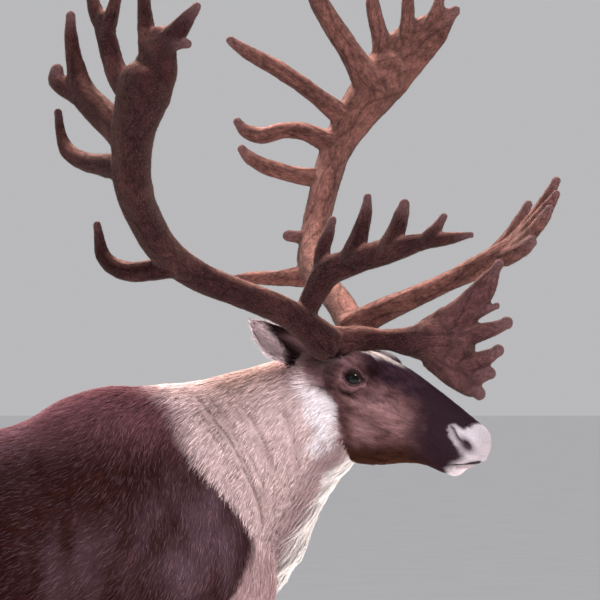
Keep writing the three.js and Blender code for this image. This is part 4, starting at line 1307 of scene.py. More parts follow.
class Nearest:
    """Finds the section of a sleeve that lies nearest to each point."""

    def __init__(self, sleeves: list[Sleeve], every: int = 2) -> None:
        """Gathers the points of the sleeves' rings, of which only some round each ring are kept."""
        self.sleeves = sleeves
        self.owner: list[tuple[int, int]] = []
        rows = []
        for k, sleeve in enumerate(sleeves):
            kept = sleeve.rings[:, ::every]
            rows.append(kept.reshape(-1, 3))
            self.owner += [(k, ring) for ring in range(len(kept)) for _ in range(kept.shape[1])]
        points = np.concatenate(rows)
        self.tree = KDTree(len(points))
        for i, point in enumerate(points):
            self.tree.insert(point, i)
        self.tree.balance()
        self.pairs = np.array(self.owner)

    def find(self, points: Array) -> tuple[Array, Array]:
        """The sleeve and the ring nearest to each point."""
        found = np.fromiter((self.tree.find(p)[1] for p in points), np.int64, len(points))
        return self.pairs[found].T


# The skin

class Hide:
    """The skin of the whole animal in one piece, a coat's depth inside the solids."""

    voxel = 0.0042

    def __init__(self) -> None:
        """Lists the limbs that the skin goes over."""
        self.sleeves = [TrunkSizes().sleeve(), NeckSizes().sleeve(), SkullSizes().sleeve()]
        self.sleeves += [leg.sleeve() for leg in LEGS]
        self.sleeves += [EarSizes().sleeve(hand) for hand in SIDES]
        self.sleeves += [self.pedicle(side) for side in SIDES.values()]
        self.sleeves.append(TAIL.sleeve("tail", 1, ANIMAL, grow=-9))
        self.piece: Piece | None = None

    def pedicle(self, side: int) -> Sleeve:
        """The stump of the skull under an antler."""
        burr, following = np.array(BEAMS["right"].path[0], float), np.array(BEAMS["right"].path[1], float)
        down = unit(burr - following)
        path = tuple(tuple(burr + down * reach) for reach in (46, 24, 2))
        return Branch(path, (33, 28, 24), 0.92, blunt=False).sleeve("pedicle", side, CROWN)

    def orbits(self) -> list[Piece]:
        """The rounds of bone about each eye, the brow over it and the lids on it."""
        ahead, _, up = EYE_PLACE
        balls = []
        for side in SIDES.values():
            balls.append(ellipsoid("orbit", (ahead - 2, side * 46, up + 3), (37, 22.5, 28), HEAD))
            balls.append(ellipsoid("brow", (ahead + 3, side * 44, up + 25), (37, 18, 24), HEAD))
            balls.append(ellipsoid("lids", (ahead, side * EYE_PLACE[1], up), (19.8, 19.8, 19.8), HEAD))
        return balls

    def build(self) -> Piece:
        """Makes the skin: union, easing, finer face, forms, and fewer faces on the body."""
        parts = [sheath(sleeve.name, sleeve.rings) for sleeve in self.sleeves] + self.orbits()
        self.piece = joined("hide", parts)
        finished(self.piece, "REMESH", mode="VOXEL", voxel_size=self.voxel, adaptivity=0)
        LOG.info("hide: %d faces after the union", len(self.piece.data.polygons))
        self.ease()
        self.refine(self.fore_face)
        self.refine(self.fine_face)
        self.shape()
        self.thin_out()
        smooth(self.piece)
        return self.piece

    def ease(self) -> None:
        """Blends the limbs into the trunk, and the face's rounds a little."""
        points = places(self.piece)
        part, _ = Nearest(self.sleeves, 4).find(points)
        names = np.array([s.name for s in self.sleeves])[part]
        is_leg = np.char.startswith(names, "foreleg") | np.char.startswith(names, "hindleg")
        soft = np.ones(len(points))
        soft[is_leg] = np.interp(points[is_leg, 2], [560, 760], [0.0, 1.0])
        soft[np.isin(names, ["head", "pedicle", "ear_right", "ear_left", "tail"])] = 0.0
        ends = edges(self.piece)
        soft = eased(soft, ends, 0.5, 8)
        points = eased(points, ends, 0.5 * soft, 70)
        points = eased(points, ends, 0.5, 5)
        set_places(self.piece, points)

    def fore_face(self, local: Array) -> Array:
        """Whether places in the head's frame are on the face or on an ear."""
        return ((local[:, 0] > 60) & (local[:, 2] > -110)) | self.by_ear(local)

    def fine_face(self, local: Array) -> Array:
        """Whether places in the head's frame are by the eyes, the nose or the mouth."""
        ahead, _, up = EYE_PLACE
        side = np.abs(local[:, 1])
        by_eye = (np.hypot(local[:, 0] - ahead - 2, local[:, 2] - up) < 36) & (side > 40)
        return by_eye | (local[:, 0] > 284)

    def by_ear(self, local: Array) -> Array:
        """Whether places in the head's frame are on an ear."""
        points = CROWN.into(HEAD.out(local)) * [1, -1, 1]
        points[:, 1] = np.abs(points[:, 1])
        root, way, _, _ = EarSizes().axes("left")
        share = np.clip((points - root) @ way / (way @ way), 0.1, 1)
        return np.linalg.norm(points - root - share[:, None] * way, axis=1) < 44

    def refine(self, where: Callable[[Array], Array]) -> None:
        """Cuts the faces in four where their middles fit, and smooths them.

        Args:
            where: whether places in the head's frame are to be finer.
        """
        pick_faces(self.piece, where(HEAD.into(middles(self.piece))))
        bpy.ops.mesh.subdivide(number_cuts=1, smoothness=0, quadcorner="INNERVERT")
        bpy.ops.object.mode_set(mode="OBJECT")
        points = places(self.piece)
        near = where(HEAD.into(points)).astype(float)
        set_places(self.piece, eased(points, edges(self.piece), 0.5 * near, 3))

    def shape(self) -> None:
        """Moves the skin into its folds, muscles and features."""
        points = places(self.piece)
        turn = normals(self.piece)
        points = points + turn * (self.muscles(points, turn) + self.folds(points, turn))[:, None]
        points = points + turn * self.face(points)[:, None]
        set_places(self.piece, points)
        points = self.open_nose(points, normals(self.piece))
        points = self.hollow_ears(points, turn)
        points = self.open_eyes(points)
        set_places(self.piece, points)

    def muscles(self, points: Array, turn: Array) -> Array:
        """How far the skin stands out over the muscles and bones of the trunk and legs."""
        x, _, z = points.T
        sideways = step(np.abs(turn[:, 1]), 0.25, 0.7)
        lumps = (
            (70, 1085, 70, 110, 5), (-62, 1060, 26, 120, -6), (-20, 950, 60, 80, 7), (170, 925, 60, 60, 4),
            (60, 1000, 30, 150, 2), (-640, 1110, 70, 40, 6), (-560, 985, 80, 90, -9), (-790, 1060, 90, 60, 4),
            (-960, 900, 60, 130, 4), (-735, 880, 40, 120, -6), (-850, 800, 60, 80, 4), (60, 800, 40, 60, 4),
        )
        height = np.zeros(len(points))
        for px, pz, rx, rz, rise in lumps:
            height += rise * mound(x, z, (px, pz), (rx, rz))
        ribs = np.sin((x + 0.28 * (z - 900)) / 9.5) * step(x, -120, -180) * step(x, -600, -480)
        height += 0.7 * ribs * step(z, 780, 850) * step(z, 1090, 1020)
        return height * sideways + 1.4 * clouds(points, 70, 31) * step(z, 500, 700)

    def folds(self, points: Array, turn: Array) -> Array:
        """The creases of the turned neck, on its inner side, and the slack ones behind the shoulder."""
        plane = points[:, [0, 2]]
        facing = step(-turn[:, 1], 0.15, 0.5) * (points[:, 1] < 40)
        height = np.zeros(len(points))
        for line, depth, width in FOLDS:
            off, share, past = from_line(plane, line)
            off = off + 2.5 * clouds(points, 16, 34)
            ends = step(share, 0, 0.18) * step(share, 1, 0.86) * (past < 1)
            lip = 0.62 * bell(off + width * 2.3, width * 1.9) + 0.4 * bell(off - width * 2.0, width * 1.7)
            height += depth * ends * (lip - bell(off, width * 0.8)) * facing
        height += 1.1 * Markings.fine_folds(points) * facing
        for line in FLANK_FOLDS:
            off, share, _ = from_line(plane, line)
            height -= 1.8 * bell(off, 5) * step(share, 0, 0.3) * step(share, 1, 0.7) * facing
        return height

    def face(self, points: Array) -> Array:
        """The forms of the face: jaw muscle, folds round the eye, crest, brow, temple and lips."""
        plane, outward, _ = head_places(points)
        a, h = plane.T
        on_side = step(outward, 14, 32)
        height = np.zeros(len(points))
        for pa, ph, ra, rh, rise in (
            (102, -54, 38, 32, 4.5), (50, 42, 14, 13, -4.5), (90, 70, 30, 9, 3.2), (125, 58, 13, 10, -4.5),
            (205, 24, 56, 10, -3.0), (176, -4, 60, 8, 2.6), (309, 27, 20, 9, 3.0), (322, -20, 24, 11, 2.4),
            (262, -30, 26, 14, -2.0), (240, 52, 60, 10, 1.8), (150, -68, 60, 12, -1.8),
            (148, 14, 14, 14, -1.6),
            (98, 12, 22, 5, 1.6),
        ):
            height += rise * mound(a, h, (pa, ph), (ra, rh)) * on_side
        for line, depth, width in FACE_FOLDS:
            off, share, past = from_line(plane, line)
            ends = step(share, 0, 0.18) * step(share, 1, 0.8) * (past < 1.5)
            rolls = 0.42 * bell(off - width * 2, width * 1.4) + 0.42 * bell(off + width * 2, width * 1.4)
            height += depth * (rolls - bell(off, width)) * ends * on_side
        off, _, past = from_line(plane, MOUTH_LINE)
        height += (past < 3) * step(a, 296, 325) * (1.4 * bell(np.abs(off) - 5.5, 3.2) - 4.6 * bell(off, 1.8))
        chin = mound(a, h, (318, -54), (18, 10))
        return height + 1.8 * chin + 0.4 * clouds(points, 7, 33) * (a > 60)

    def hollow_ears(self, points: Array, turn: Array) -> Array:
        """Sinks the inner side of each ear, most along its middle."""
        sizes = EarSizes()
        near = np.nonzero(self.by_ear(HEAD.into(points)))[0]
        moved = points.copy()
        for hand, side in SIDES.items():
            mine = near[np.sign(CROWN.into(points[near])[:, 1]) == side]
            share, aside, within = sizes.place(points[mine], turn[mine], hand)
            dish = np.clip(1 - (aside / 0.84) ** 2, 0, 1) ** 0.7 * step(within, 0.15, 0.6)
            dish = dish * step(share, -0.02, 0.2) * step(share, 1.0, 0.7)
            moved[mine] -= (CROWN.turn @ sizes.axes(hand)[2])[None] * (sizes.hollow * dish)[:, None]
        return moved

    def open_nose(self, points: Array, turn: Array) -> Array:
        """Sinks the nostrils, from a slit behind to a wide hole in front, and sets the lower lip back."""
        plane, outward, side = head_places(points)
        a = plane[:, 0]
        slit, hole, edge = Markings.nostril(plane)
        near = (outward > 8) & (a > 284)
        depth = np.maximum(2.6 * step(slit, 1.5, 0.3), 7 * step(hole, 1.15, 0.2)) * near
        rim = 1.7 * bell(edge - 2.6, 2.4) * near
        inward = -side[:, None] * HEAD.turn[:, 1] * 0.8 - HEAD.turn[:, 0] * 0.6
        under = step(from_line(plane, MOUTH_LINE)[0], 0, 5) * step(a, 318, 338) * step(plane[:, 1], -8, -18)
        return points + inward * depth[:, None] + turn * rim[:, None] - HEAD.turn[:, 0] * (9 * under)[:, None]

    def open_eyes(self, points: Array) -> Array:
        """Parts the lids over each eye, with the folds over and under them."""
        for form in EYES.values():
            inside, local = form.gap(points)
            near = (np.linalg.norm(local, axis=1) < 44) & (local[:, 1] > 2)
            reach = np.linalg.norm(local, axis=1)
            off = -inside
            hug = step(off, 9, 1) * near
            lid = EYE_RADIUS + 1.9 + 1.0 * bell(off - 3.0, 2.0)
            folds = -1.5 * bell(off - 5.6, 1.3) + 1.0 * bell(off - 8.4, 2.0)
            target = lid * hug + reach * (1 - hug)
            sunk = step(inside, -0.9, 0.9) * near
            target = target * (1 - sunk) + (EYE_RADIUS - 5.5) * sunk + folds * near
            points = np.where(near[:, None], form.frame.out(local / reach[:, None] * target[:, None]), points)
        return points

    def thin_out(self) -> None:
        """Collapses faces of the smooth body once and of the folded neck twice, and none of the face's."""
        for folded, ratio in ((False, 0.12), (True, 0.43), (True, 0.46)):
            middle = middles(self.piece)
            local = HEAD.into(middle)
            fine = (local[:, 0] > 58) | self.by_ear(local)
            on_folds = (middle[:, 0] > 100) & (middle[:, 1] < 0) & (middle[:, 2] > 950)
            pick_faces(self.piece, ~fine & (on_folds == folded))
            bpy.ops.mesh.decimate(ratio=ratio)
            bpy.ops.object.mode_set(mode="OBJECT")

    def surface(self) -> Surface:
        """Reads the skin as arrays, with the lie of the coat and the chart of each vertex."""
        finished(self.piece, "TRIANGULATE")
        mesh = self.piece.data
        points, turn = places(self.piece), normals(self.piece)
        triangles = np.empty(len(mesh.polygons) * 3, np.int32)
        mesh.polygons.foreach_get("vertices", triangles)
        part, ring = Nearest(self.sleeves).find(points)
        lie = np.zeros_like(points)
        chart = np.zeros((len(points), 3))
        parts = np.zeros((len(points), len(self.sleeves)))
        parts[np.arange(len(points)), part] = 1
        for k, sleeve in enumerate(self.sleeves):
            mine = part == k
            at = ring[mine]
            off = points[mine] - sleeve.centre[at]
            along = sleeve.along[at]
            distance = sleeve.distance
            chart[mine, 0] = (distance[at] + dot(off, along)) / distance[-1]
            chart[mine, 1] = dot(off, sleeve.across[at])
            chart[mine, 2] = dot(off, sleeve.upward[at])
            lie[mine] = self.lie(sleeve.name, along, points[mine])
        ends = edges(self.piece)
        parts = eased(parts, ends, 0.5, 10)
        lie = lie - dot(lie, turn)[:, None] * turn
        lie = eased(unit(lie), ends, 0.5, 40)
        lie = unit(lie - dot(lie, turn)[:, None] * turn)
        names = [sleeve.name for sleeve in self.sleeves]
        return Surface(points, turn, triangles.reshape(-1, 3), parts, names, lie, chart)

    def lie(self, name: str, along: Array, points: Array) -> Array:
        """Which way the hair of a limb lies, before it is eased into its neighbours' lie."""
        if name == "trunk":
            front = step(points[:, 0], 150, 260)[:, None]
            down = np.array([-0.05, 0, -1.0])
            back = -along + np.array([0, 0, -0.55])
            return back * (1 - front) + down * front
        if name == "neck":
            return -along + np.array([0, 0, -0.75])
        if name == "head":
            plane, _, _ = head_places(points)
            rise = 0.25 * step(plane[:, 1], 0, 60) - 0.25 * step(plane[:, 1], 0, -60)
            return -along + HEAD.turn[:, 2] * rise[:, None]
        if name.startswith(("foreleg", "hindleg")):
            return along + np.array([-0.25, 0, 0])
        return along


# What grows on the skin

class Growth:
    """The length, spacing and lift of the coat over the skin."""

    def set_on(self, surface: Surface) -> None:
        """Gives the surface its coat's sizes and colours."""
        points, turn = surface.points, surface.normals
        x, _, z = points.T
        plane, outward, _ = head_places(points)
        a, h = plane.T
        legs = surface.share("foreleg", "hindleg")
        head = surface.share("head")
        neck = surface.share("neck")
        ears = surface.share("ear")
        length = 20 + 3 * clouds(points, 60, 41)
        length += 8 * step(-turn[:, 2], 0.4, 0.9) * step(z, 900, 760)
        length = (
            length * (1 - neck)
            + neck * (17 + 8 * step(turn[:, 2], 0.2, 0.8) + 18 * step(z, 1010, 920) * step(x, 235, 275))
        )
        low_leg = np.interp(z, [90, 160, 420, 760], [18, 14, 15, 21])
        length = length * (1 - legs) + legs * low_leg
        face = np.interp(a, [-20, 30, 90, 160, 250, 330, 360], [17, 15, 10.0, 9.0, 7.0, 4.6, 4.0])
        face += 5 * step(h, -60, -95) * step(a, 250, 150)
        white = from_line(plane, WHITE_EDGE)[0]
        face += 6 * step(white, 2, -16) * step(a, 150, 110) * step(h, 20, -10)
        length = length * (1 - head) + head * face
        length = length * (1 - ears) + ears * 11
        length = length * (1 - surface.share("tail")) + surface.share("tail") * 46
        length += 8 * step(x, -1000, -1060) * step(z, 600, 700)
        spacing = (
            4.5 * (1 - neck) * (1 - head) + 3.1 * neck + head * np.interp(a, [30, 90, 300], [3.0, 2.5, 1.9])
        )
        spacing = spacing * (1 - ears) + 2.4 * ears
        lift = 0.11 + 0.12 * surface.share("tail") + 0.05 * ears
        for hand in SIDES:
            share, _, within = EarSizes().place(points, turn, hand)
            fringe = (
                surface.share(f"ear_{hand}") * step(within, 0, 0.4) * step(np.abs(share - 0.4), 0.75, 0.4)
            )
            length = length * (1 - fringe) + 17 * fringe
            lift = lift + 0.35 * fringe
        for form in EYES.values():
            inside, local = form.gap(points)
            off, near = -inside, np.linalg.norm(local, axis=1) < 40
            length = np.where(near, length * (0.35 + 0.65 * step(off, 3, 26)), length)
            spacing = np.where(near, np.minimum(spacing, 2.0 + 0.6 * step(off, 3, 20)), spacing)
            spacing = np.where(near & (off < 1.1), BARE_SPACING, spacing)
        slit, nostril, _ = Markings.nostril(plane)
        hole = ((slit < 1.2) | (nostril < 1.1)) & (outward > 8) & (a > 285)
        off, _, past = from_line(plane, MOUTH_LINE)
        hole |= (np.abs(off) < 1.7) & (a > 318) & (past < 2)
        spacing = np.where(hole, BARE_SPACING, spacing)
        spacing = np.where(surface.share("pedicle") > 0.5, np.minimum(spacing, 3.4), spacing)
        for line, _, width in FOLDS:
            off, share, _ = from_line(points[:, [0, 2]], line)
            crease = (
                bell(off, width * 1.4) * step(share, 0, 0.1) * step(share, 1, 0.9)
                * step(-turn[:, 1], 0, 0.3)
            )
            length = length * (1 - 0.5 * crease * (neck + surface.share("trunk")))
        surface.length = length
        surface.spacing = np.where(z < HOOF_HEIGHT - 6, BARE_SPACING, spacing)
        surface.lift = lift
        surface.tint = Markings().of(surface)


@dataclass
class Roots:
    """Roots spread over the skin: the triangle of each, and its shares of the corners."""

    surface: Surface
    triangle: Array
    shares: Array

    @classmethod
    def spread(cls, surface: Surface, rng: np.random.Generator) -> "Roots":
        """Spreads roots over the skin, closer where the coat is finer.

        Args:
            surface: the skin with its spacing.
            rng: the source of chance.

        Returns:
            The roots.
        """
        corners = surface.points[surface.triangles]
        faces = np.cross(corners[:, 1] - corners[:, 0], corners[:, 2] - corners[:, 0])
        area = np.linalg.norm(faces, axis=1) / 2
        spacing = surface.spacing[surface.triangles].max(axis=1)
        wanted = np.cumsum(area / spacing**2)
        count = int(wanted[-1])
        targets = np.arange(count) + rng.uniform(0, 1, count)
        triangle = np.minimum(np.searchsorted(wanted, targets), len(area) - 1)
        r, s = rng.uniform(0, 1, (2, count))
        r = np.sqrt(r)
        return cls(surface, triangle, np.stack([1 - r, r * (1 - s), r * s], axis=1))

    def of(self, values: Array) -> Array:
        """Values of the skin's vertices, at the roots."""
        corner = values[self.surface.triangles[self.triangle]]
        return (corner * (self.shares if values.ndim == 1 else self.shares[..., None])).sum(axis=1)


def strand_faces(start: int, rings: int) -> list[tuple[int, int, int]]:
    """The faces of a strand of three sides, whose tip is the vertex after its last ring.

    Args:
        start: the first vertex of the first ring.
        rings: how many rings of three vertices there are.

    Returns:
        The triangles between the rings and up to the tip.
    """
    faces = []
    for k in range(rings - 1):
        a, b = start + 3 * k, start + 3 * k + 3
        for i in range(3):
            j = (i + 1) % 3
            faces += [(a + i, a + j, b + i), (a + j, b + j, b + i)]
    top = start + 3 * (rings - 1)
    return faces + [(top + i, top + (i + 1) % 3, top + 3) for i in range(3)]


def on_map(flat: Array) -> Array:
    """Places of an unwrap, spread over the whole map but its margin."""
    low, high = flat.min(axis=0), flat.max(axis=0)
    return MAP_MARGIN + (1 - 2 * MAP_MARGIN) * (flat - low) / np.maximum(high - low, 1e-6)


@dataclass(frozen=True)
class Tuft:
    """The shape of a tuft: where its sections are, how high, and how wide, as shares."""

    at: tuple[float, ...] = (0.38,)
    rise: tuple[float, ...] = (0.62,)
    wide: tuple[float, ...] = (1.0,)
    thick: float = 0.34
    sink: float = 1.2

    def mesh(
        self, roots: Array, out: Array, lie: Array, length: Array, width: Array, lift: Array, curl: Array
    ) -> tuple[Array, Array]:
        """Spindles that start under the skin and end in a point.

        Args:
            roots: where each tuft starts.
            out: the skin's normal there.
            lie: which way the tuft lies along the skin.
            length: how long each is.
            width: how wide.
            lift: how high its tip stands, as a share of its length.
            curl: how far its tip bends sideways, as a share of its length.

        Returns:
            The vertices, and the triangles.
        """
        side = np.cross(out, lie)
        long, wide = length[:, None], width[:, None]
        rows = [roots - out * self.sink]
        for at, rise, share in zip(self.at, self.rise, self.wide):
            middle = (
                roots + lie * long * at + out * (lift[:, None] * long * rise + 0.3)
                + side * (curl * length * at**2)[:, None]
            )
            half = side * wide * share / 2
            rows += [middle - half, middle + half, middle + out * wide * share * self.thick]
        rows.append(roots + lie * long + out * (lift[:, None] * long) + side * (curl * length)[:, None])
        points = np.stack(rows, axis=1)
        faces = [(0, 2, 1), (0, 3, 2), (0, 1, 3)] + strand_faces(1, len(self.at))
        triangles = np.arange(len(roots))[:, None, None] * points.shape[1] + np.array(faces)[None]
        return points.reshape(-1, 3), triangles.reshape(-1, 3)

    def patches(self, centres: Array) -> Array:
        """A small patch of the map for each tuft, about its root's place."""
        corners = [(0, -0.5)]
        for k in range(len(self.at)):
            level = -0.25 + 0.5 * k / len(self.at)
            corners += [(-0.5, level), (0.5, level), (0, level + 0.1)]
        corners.append((0, 0.5))
        return (centres[:, None] + np.array(corners)[None] * PATCH_SIZE).reshape(-1, 2)


FINE_TUFT = Tuft()
LONG_TUFT = Tuft(at=(0.22, 0.6), rise=(0.5, 0.92), wide=(1.0, 0.8))


# Finishes

class Nodes:
    """Builds a material's nodes by short calls."""

    def __init__(self, name: str) -> None:
        """Starts a material with only its shader and its output."""
        self.material = bpy.data.materials.new(name)
        self.material.use_nodes = True
        self.tree = self.material.node_tree
        self.shader = self.tree.nodes["Principled BSDF"]

    def add(self, kind: str, **settings: object) -> bpy.types.Node:
        """Adds a node with its settings."""
        node = self.tree.nodes.new(kind)
        for name, value in settings.items():
            setattr(node, name, value)
        return node

    def link(self, a: Socket, b: Socket) -> None:
        """Joins two sockets."""
        self.tree.links.new(a, b)

    def noise(self, vector: Socket, scale: float, detail: float = 3.0, rough: float = 0.55) -> Socket:
        """Noise of a scale over a vector."""
        node = self.add("ShaderNodeTexNoise")
        node.inputs["Scale"].default_value = scale
        node.inputs["Detail"].default_value = detail
        node.inputs["Roughness"].default_value = rough
        self.link(vector, node.inputs["Vector"])
        return node.outputs["Fac"]

    def ramp(self, fac: Socket, *stops: tuple[float, tuple[float, float, float]]) -> Socket:
        """A ramp of colours over a number."""
        node = self.add("ShaderNodeValToRGB")
        elements = node.color_ramp.elements
        while len(elements) < len(stops):
            elements.new(0.5)
        for element, (place, colour) in zip(elements, stops):
            element.position = place
            element.color = (*colour, 1)
        self.link(fac, node.inputs["Fac"])
        return node.outputs["Color"]

    def multiplied(self, a: Socket, b: Socket, share: float = 1.0) -> Socket:
        """One colour times another."""
        node = self.add("ShaderNodeMix", data_type="RGBA", blend_type="MULTIPLY")
        node.inputs["Factor"].default_value = share
        self.link(a, node.inputs["A"])
        self.link(b, node.inputs["B"])
        return node.outputs["Result"]

    def bump(self, height: Socket, distance: float, strength: float = 1.0) -> None:
        """Raises the surface by a height."""
        node = self.add("ShaderNodeBump")
        node.inputs["Distance"].default_value = distance
        node.inputs["Strength"].default_value = strength
        self.link(height, node.inputs["Height"])
        self.link(node.outputs["Normal"], self.shader.inputs["Normal"])

    def vector(self, name: str | None = None, stretch: tuple[float, float, float] = (1, 1, 1)) -> Socket:
        """An attribute as a vector, or the object's coordinates, stretched."""
        if name:
            source = self.add("ShaderNodeAttribute", attribute_name=name).outputs["Vector"]
        else:
            source = self.add("ShaderNodeTexCoord").outputs["Object"]
        mapping = self.add("ShaderNodeMapping")
        mapping.inputs["Scale"].default_value = stretch
        self.link(source, mapping.inputs["Vector"])
        return mapping.outputs["Vector"]

    def colour(self, name: str) -> Socket:
        """An attribute as a colour."""
        return self.add("ShaderNodeAttribute", attribute_name=name).outputs["Color"]


class Finish:
    """A finish of that name, whose material is made once."""

    name: str

    def dress(self, piece: Piece) -> None:
        """Gives a piece this finish."""
        material = bpy.data.materials.get(self.name) or self.material()
        piece.data.materials.clear()
        piece.data.materials.append(material)

    def material(self) -> bpy.types.Material:
        """The material, which each finish makes in its own way."""
        raise NotImplementedError


@dataclass(frozen=True)
class FurFinish(Finish):
    """The hair of the coat, in the colour that each tuft carries."""

    name: str = "coat_hair"
    roughness: float = 0.6
    sheen: float = 0.0
    sheen_roughness: float = 0.4
    specular: float = 0.0

    def material(self) -> bpy.types.Material:
        """The material: the tuft's colour, broken by fine streaks."""
        n = Nodes(self.name)
        streaks = n.ramp(n.noise(n.vector(), 420, 2.0), (0.3, (0.78, 0.77, 0.76)), (0.7, (1.16, 1.15, 1.14)))
        n.link(n.multiplied(n.colour("tint"), streaks), n.shader.inputs["Base Color"])
        self.set_shader(n)
        return n.material

    def set_shader(self, n: Nodes) -> None:
        """Sets how the hair takes the light."""
        n.shader.inputs["Roughness"].default_value = self.roughness
        n.shader.inputs["Specular IOR Level"].default_value = self.specular
        n.shader.inputs["Sheen Weight"].default_value = self.sheen
        n.shader.inputs["Sheen Roughness"].default_value = self.sheen_roughness
        n.shader.inputs["Sheen Tint"].default_value = (1.0, 0.93, 0.95, 1)


@dataclass(frozen=True)
class HideFinish(FurFinish):
    """The skin under the tufts, which carries the short hair between them as bump."""

    name: str = "hide_hair"
    roughness: float = 0.7

    def material(self) -> bpy.types.Material:
        """The material: the markings, with fine hair raised along the lie."""
        n = Nodes(self.name)
        fine = n.noise(n.vector("grain", (22, 160, 160)), 5.0, 4.0, 0.6)
        shade = n.ramp(fine, (0.25, (0.72, 0.71, 0.70)), (0.75, (1.12, 1.11, 1.10)))
        n.link(n.multiplied(n.colour("tint"), shade), n.shader.inputs["Base Color"])
        n.bump(fine, 0.002)
        self.set_shader(n)
        return n.material


@dataclass(frozen=True)
class VelvetFinish(FurFinish):
    """The velvet of the antlers: short plush over veins, darker in the hollows."""

    name: str = "antler_velvet"
    roughness: float = 0.8
    sheen: float = 0.14
    sheen_roughness: float = 0.25
    specular: float = 0.02

    def material(self) -> bpy.types.Material:
        """The material: the tint of each place, streaked along the branch, with a plush bump."""
        n = Nodes(self.name)
        fibre = n.noise(n.vector("grain", (30, 150, 150)), 4.0, 5.0, 0.65)
        plush = n.noise(n.vector(), 700, 2.0)
        streaks = n.ramp(fibre, (0.38, (0.52, 0.50, 0.50)), (0.64, (1.5, 1.45, 1.42)))
        n.link(n.multiplied(n.colour("tint"), streaks), n.shader.inputs["Base Color"])
        height = n.add("ShaderNodeMath", operation="ADD")
        n.link(fibre, height.inputs[0])
        n.link(plush, height.inputs[1])
        n.bump(height.outputs["Value"], 0.0022)
        self.set_shader(n)
        n.shader.inputs["Sheen Tint"].default_value = (1.0, 0.78, 0.70, 1)
        return n.material


@dataclass(frozen=True)
class HornFinish(Finish):
    """The horn of the hooves: near black, ringed, scuffed pale at its edges."""

    name: str = "hoof_horn"

    def material(self) -> bpy.types.Material:
        """The material: fine rings round the hoof and scratches down it."""
        n = Nodes(self.name)
        rings = n.noise(n.vector(stretch=(12, 12, 260)), 1.0, 3.0)
        fibres = n.noise(n.vector(stretch=(420, 420, 24)), 1.0, 3.0)
        base = n.ramp(rings, (0.3, (0.012, 0.010, 0.009)), (0.7, (0.045, 0.036, 0.030)))
        scuff = n.ramp(fibres, (0.35, (0.7, 0.7, 0.7)), (0.75, (1.5, 1.45, 1.4)))
        n.link(n.multiplied(base, scuff), n.shader.inputs["Base Color"])
        n.bump(rings, 0.0012)
        n.shader.inputs["Roughness"].default_value = 0.5
        n.shader.inputs["Specular IOR Level"].default_value = 0.2
        return n.material


@dataclass(frozen=True)
class EyeFinish(Finish):
    """The eye: a dark brown iris round a long level pupil, under a wet cornea."""

    name: str = "eye_ball"

    def material(self) -> bpy.types.Material:
        """The material: the stain of each place, with the iris's spokes."""
        n = Nodes(self.name)
        spokes = n.ramp(
            n.noise(n.vector("grain", (1, 1, 1)), 9.0, 4.0), (0.3, (0.6, 0.6, 0.6)), (0.7, (1.5, 1.4, 1.3))
        )
        n.link(n.multiplied(n.colour("tint"), spokes), n.shader.inputs["Base Color"])
        n.shader.inputs["Roughness"].default_value = 0.6
        n.shader.inputs["Specular IOR Level"].default_value = 0.0
        n.shader.inputs["Coat Weight"].default_value = 0.32
        n.shader.inputs["Coat Roughness"].default_value = 0.02
        return n.material


@dataclass(frozen=True)
class BareFinish(Finish):
    """Bare dark skin, as on the lids' edges and in the lips."""

    name: str
    shade: Shade
    roughness: float = 0.4

    def material(self) -> bpy.types.Material:
        """The material: a wrinkled dark skin."""
        n = Nodes(self.name)
        light = self.shade.light
        wrinkles = n.noise(n.vector(), 900, 3.0)
        n.link(
            n.ramp(wrinkles, (0.3, tuple(light * 0.6)), (0.7, tuple(light * 1.4))),
            n.shader.inputs["Base Color"]
        )
        n.bump(wrinkles, 0.0006)
        n.shader.inputs["Roughness"].default_value = self.roughness
        n.shader.inputs["Specular IOR Level"].default_value = 0.12
        return n.material


# The coat

